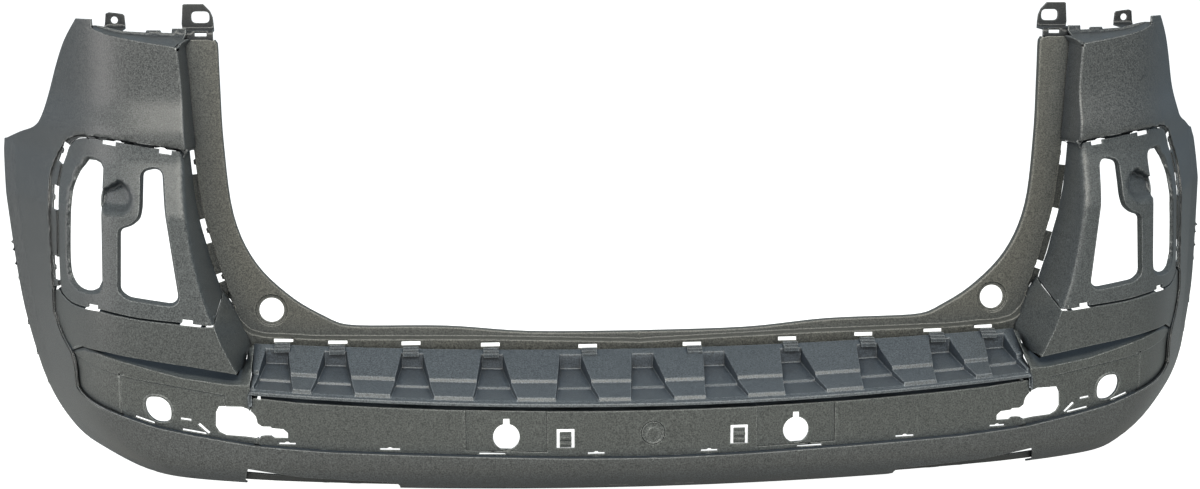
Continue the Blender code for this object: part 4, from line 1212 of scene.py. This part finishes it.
def grained_plastic(name, colour, roughness):
    """Moulded plastic with a fine spark-eroded grain and faint clouding, with painted shade in recesses and
    seams and painted highlights that lighten rounded edges.
    """
    made = bpy.data.materials.new(name)
    made.use_nodes = True
    tree = made.node_tree
    shader = tree.nodes["Principled BSDF"]
    coords = node_of(tree, "TexCoord")
    speckle = noise(tree, coords, GRAIN_SCALE, 1)
    clouds = noise(tree, coords, CLOUD_SCALE, 3)
    # Mask for the painted shade in recesses.
    hollow = openness(tree, SHADE_REACH)
    brightness = ranged(tree, speckle, 1 - GRAIN, 1 + GRAIN)
    brightness = multiplied(tree, brightness, ranged(tree, clouds, 0.95, 1.05))
    # Painted shade: darker where the occlusion finds a recess.
    brightness = multiplied(tree, brightness, ranged(tree, hollow, 0.42, 1, 0.3, 0.92))
    # Painted shade: much darker in narrow seams and gaps between parts.
    brightness = multiplied(tree, brightness, ranged(tree, openness(tree, SEAM_SHADE_REACH), 0.25, 1, 0.35, 0.8))
    # Painted shade colour, blended in where the occlusion finds a recess.
    shaded_colour = tuple(c * t for c, t in zip(colour, SHADE_TINT))
    # Painted highlight: a much lighter colour for rounded edges.
    edge_highlight = tuple(2.2 * c + 0.06 for c in colour)
    colour_with_painted_light = mixed(tree, shaded_colour, colour, ranged(tree, hollow, 0, 1, 0.45, 0.98))
    # Painted highlight laid on where the rounded normal turns away from the plain one.
    colour_with_painted_light = mixed(tree, colour_with_painted_light, edge_highlight, ranged(tree, edge_turn(tree), 0, 1, 0.04, 0.36))
    shade = node_of(tree, "VectorMath", operation="SCALE")
    tree.links.new(colour_with_painted_light, shade.inputs[0])
    tree.links.new(brightness, shade.inputs["Scale"])
    tree.links.new(shade.outputs[0], shader.inputs["Base Color"])
    tree.links.new(ranged(tree, speckle, roughness - 0.10, roughness + 0.06), shader.inputs["Roughness"])
    bump = node_of(tree, "Bump", Strength=0.5, Distance=0.0005)
    tree.links.new(noise(tree, coords, BUMP_SCALE, 2, 0.6), bump.inputs["Height"])
    tree.links.new(bump.outputs["Normal"], shader.inputs["Normal"])
    shader.inputs["Specular IOR Level"].default_value = 0.6
    return made


PLASTICS = {
    name: grained_plastic(name, colour, roughness)
    for name, colour, roughness in (
        ("cover_plastic", (0.055, 0.057, 0.056), 0.42),
        ("frame_plastic", (0.066, 0.064, 0.054), 0.46),
        ("lamp_plastic", (0.056, 0.060, 0.060), 0.44),
        ("band_plastic", (0.051, 0.054, 0.052), 0.44),
        ("panel_plastic", (0.057, 0.060, 0.056), 0.44),
        # The step is the same dark plastic; part of its cooler blue colour is painted skylight on its upward
        # faces.
        ("deck_plastic", (0.058, 0.065, 0.071), 0.42),
        ("insert_plastic", (0.030, 0.030, 0.028), 0.55),
        ("clip_plastic", (0.060, 0.066, 0.070), 0.44),
        ("bracket_plastic", (0.022, 0.022, 0.021), 0.42),
    )
}


# ---- stage, light and camera


def stage_floor():
    """A pale floor that runs far behind the part."""
    bpy.ops.mesh.primitive_plane_add(size=60, location=(0, 10, -0.004))
    floor = bpy.context.object
    floor.name = "floor"
    made = bpy.data.materials.new("pale_floor")
    made.use_nodes = True
    shader = made.node_tree.nodes["Principled BSDF"]
    shader.inputs["Base Color"].default_value = (0.55, 0.55, 0.53, 1)
    shader.inputs["Roughness"].default_value = 0.9
    shader.inputs["Emission Color"].default_value = (1, 0.995, 0.975, 1)
    seen = node_of(made.node_tree, "LightPath").outputs["Is Camera Ray"]
    made.node_tree.links.new(seen, shader.inputs["Emission Strength"])
    floor.data.materials.append(made)


def soft_light(name, power, width, height, at, target, colour):
    """A rectangular soft box that looks from one place at another."""
    data = bpy.data.lights.new(name, "AREA")
    data.shape = "RECTANGLE"
    data.energy = power
    data.size = width
    data.size_y = height
    data.color = colour
    lamp = bpy.data.objects.new(name, data)
    bpy.context.scene.collection.objects.link(lamp)
    lamp.location = at
    lamp.rotation_euler = (Vector(target) - Vector(at)).to_track_quat("-Z", "Y").to_euler()


def studio_light():
    world = bpy.data.worlds.new("studio")
    world.use_nodes = True
    background = world.node_tree.nodes["Background"]
    background.inputs["Color"].default_value = (0.62, 0.81, 1, 1)
    background.inputs["Strength"].default_value = 0.36
    bpy.context.scene.world = world
    middle = (0, 0, 0.3)
    soft_light("key", 250, 6, 0.8, (-0.3, -2.8, 3.1), middle, (1, 0.97, 0.88))
    soft_light("fill", 36, 4, 4, (-0.3, -4.6, 0.8), middle, (1, 0.98, 0.94))
    soft_light("left", 26, 1.6, 1.6, (-3.3, -0.5, 0.8), (-0.8, 0, 0.3), (1, 0.95, 0.94))
    soft_light("top", 12, 2.4, 2.4, (0, -0.5, 3.2), (0, -0.1, 0.1), (0.80, 0.92, 1))


LENS = 53.70
CAMERA_AT = (-0.2974, -2.5226, 0.7096)
LOOK_DOWN = 9.047
LOOK_RIGHT = 5.6247


def main_camera():
    data = bpy.data.cameras.new("camera")
    data.lens = LENS
    camera = bpy.data.objects.new("camera", data)
    camera.location = CAMERA_AT
    camera.rotation_euler = (math.radians(90 - LOOK_DOWN), 0, math.radians(-LOOK_RIGHT))
    bpy.context.scene.collection.objects.link(camera)
    bpy.context.scene.camera = camera


cover_skin()
tailgate_frame()
step_deck()
centre_panel()
centre_disc()
for word, hand in (("left", -1), ("right", 1)):
    lamp_pocket(f"{word}_lamp_pocket", hand)
    corner_band(f"{word}_corner_band", hand)
    corner_panel(f"{word}_corner_panel", hand)
    sensor_plate(f"{word}_sensor_plate", hand)
    lower_insert(f"{word}_lower_insert", hand)
    keyhole_plate(f"{word}_keyhole_plate", hand)
    latch_tongue(f"{word}_latch_tongue", hand)
    top_bracket(f"{word}_top_bracket", hand)
    screw_tab(f"{word}_screw_tab", hand)
for index, place_x in enumerate(both_sides(CLIP_CENTRES)):
    sill_clip(index + 1, place_x)
stage_floor()
studio_light()
main_camera()
bpy.context.scene.view_settings.view_transform = "Standard"
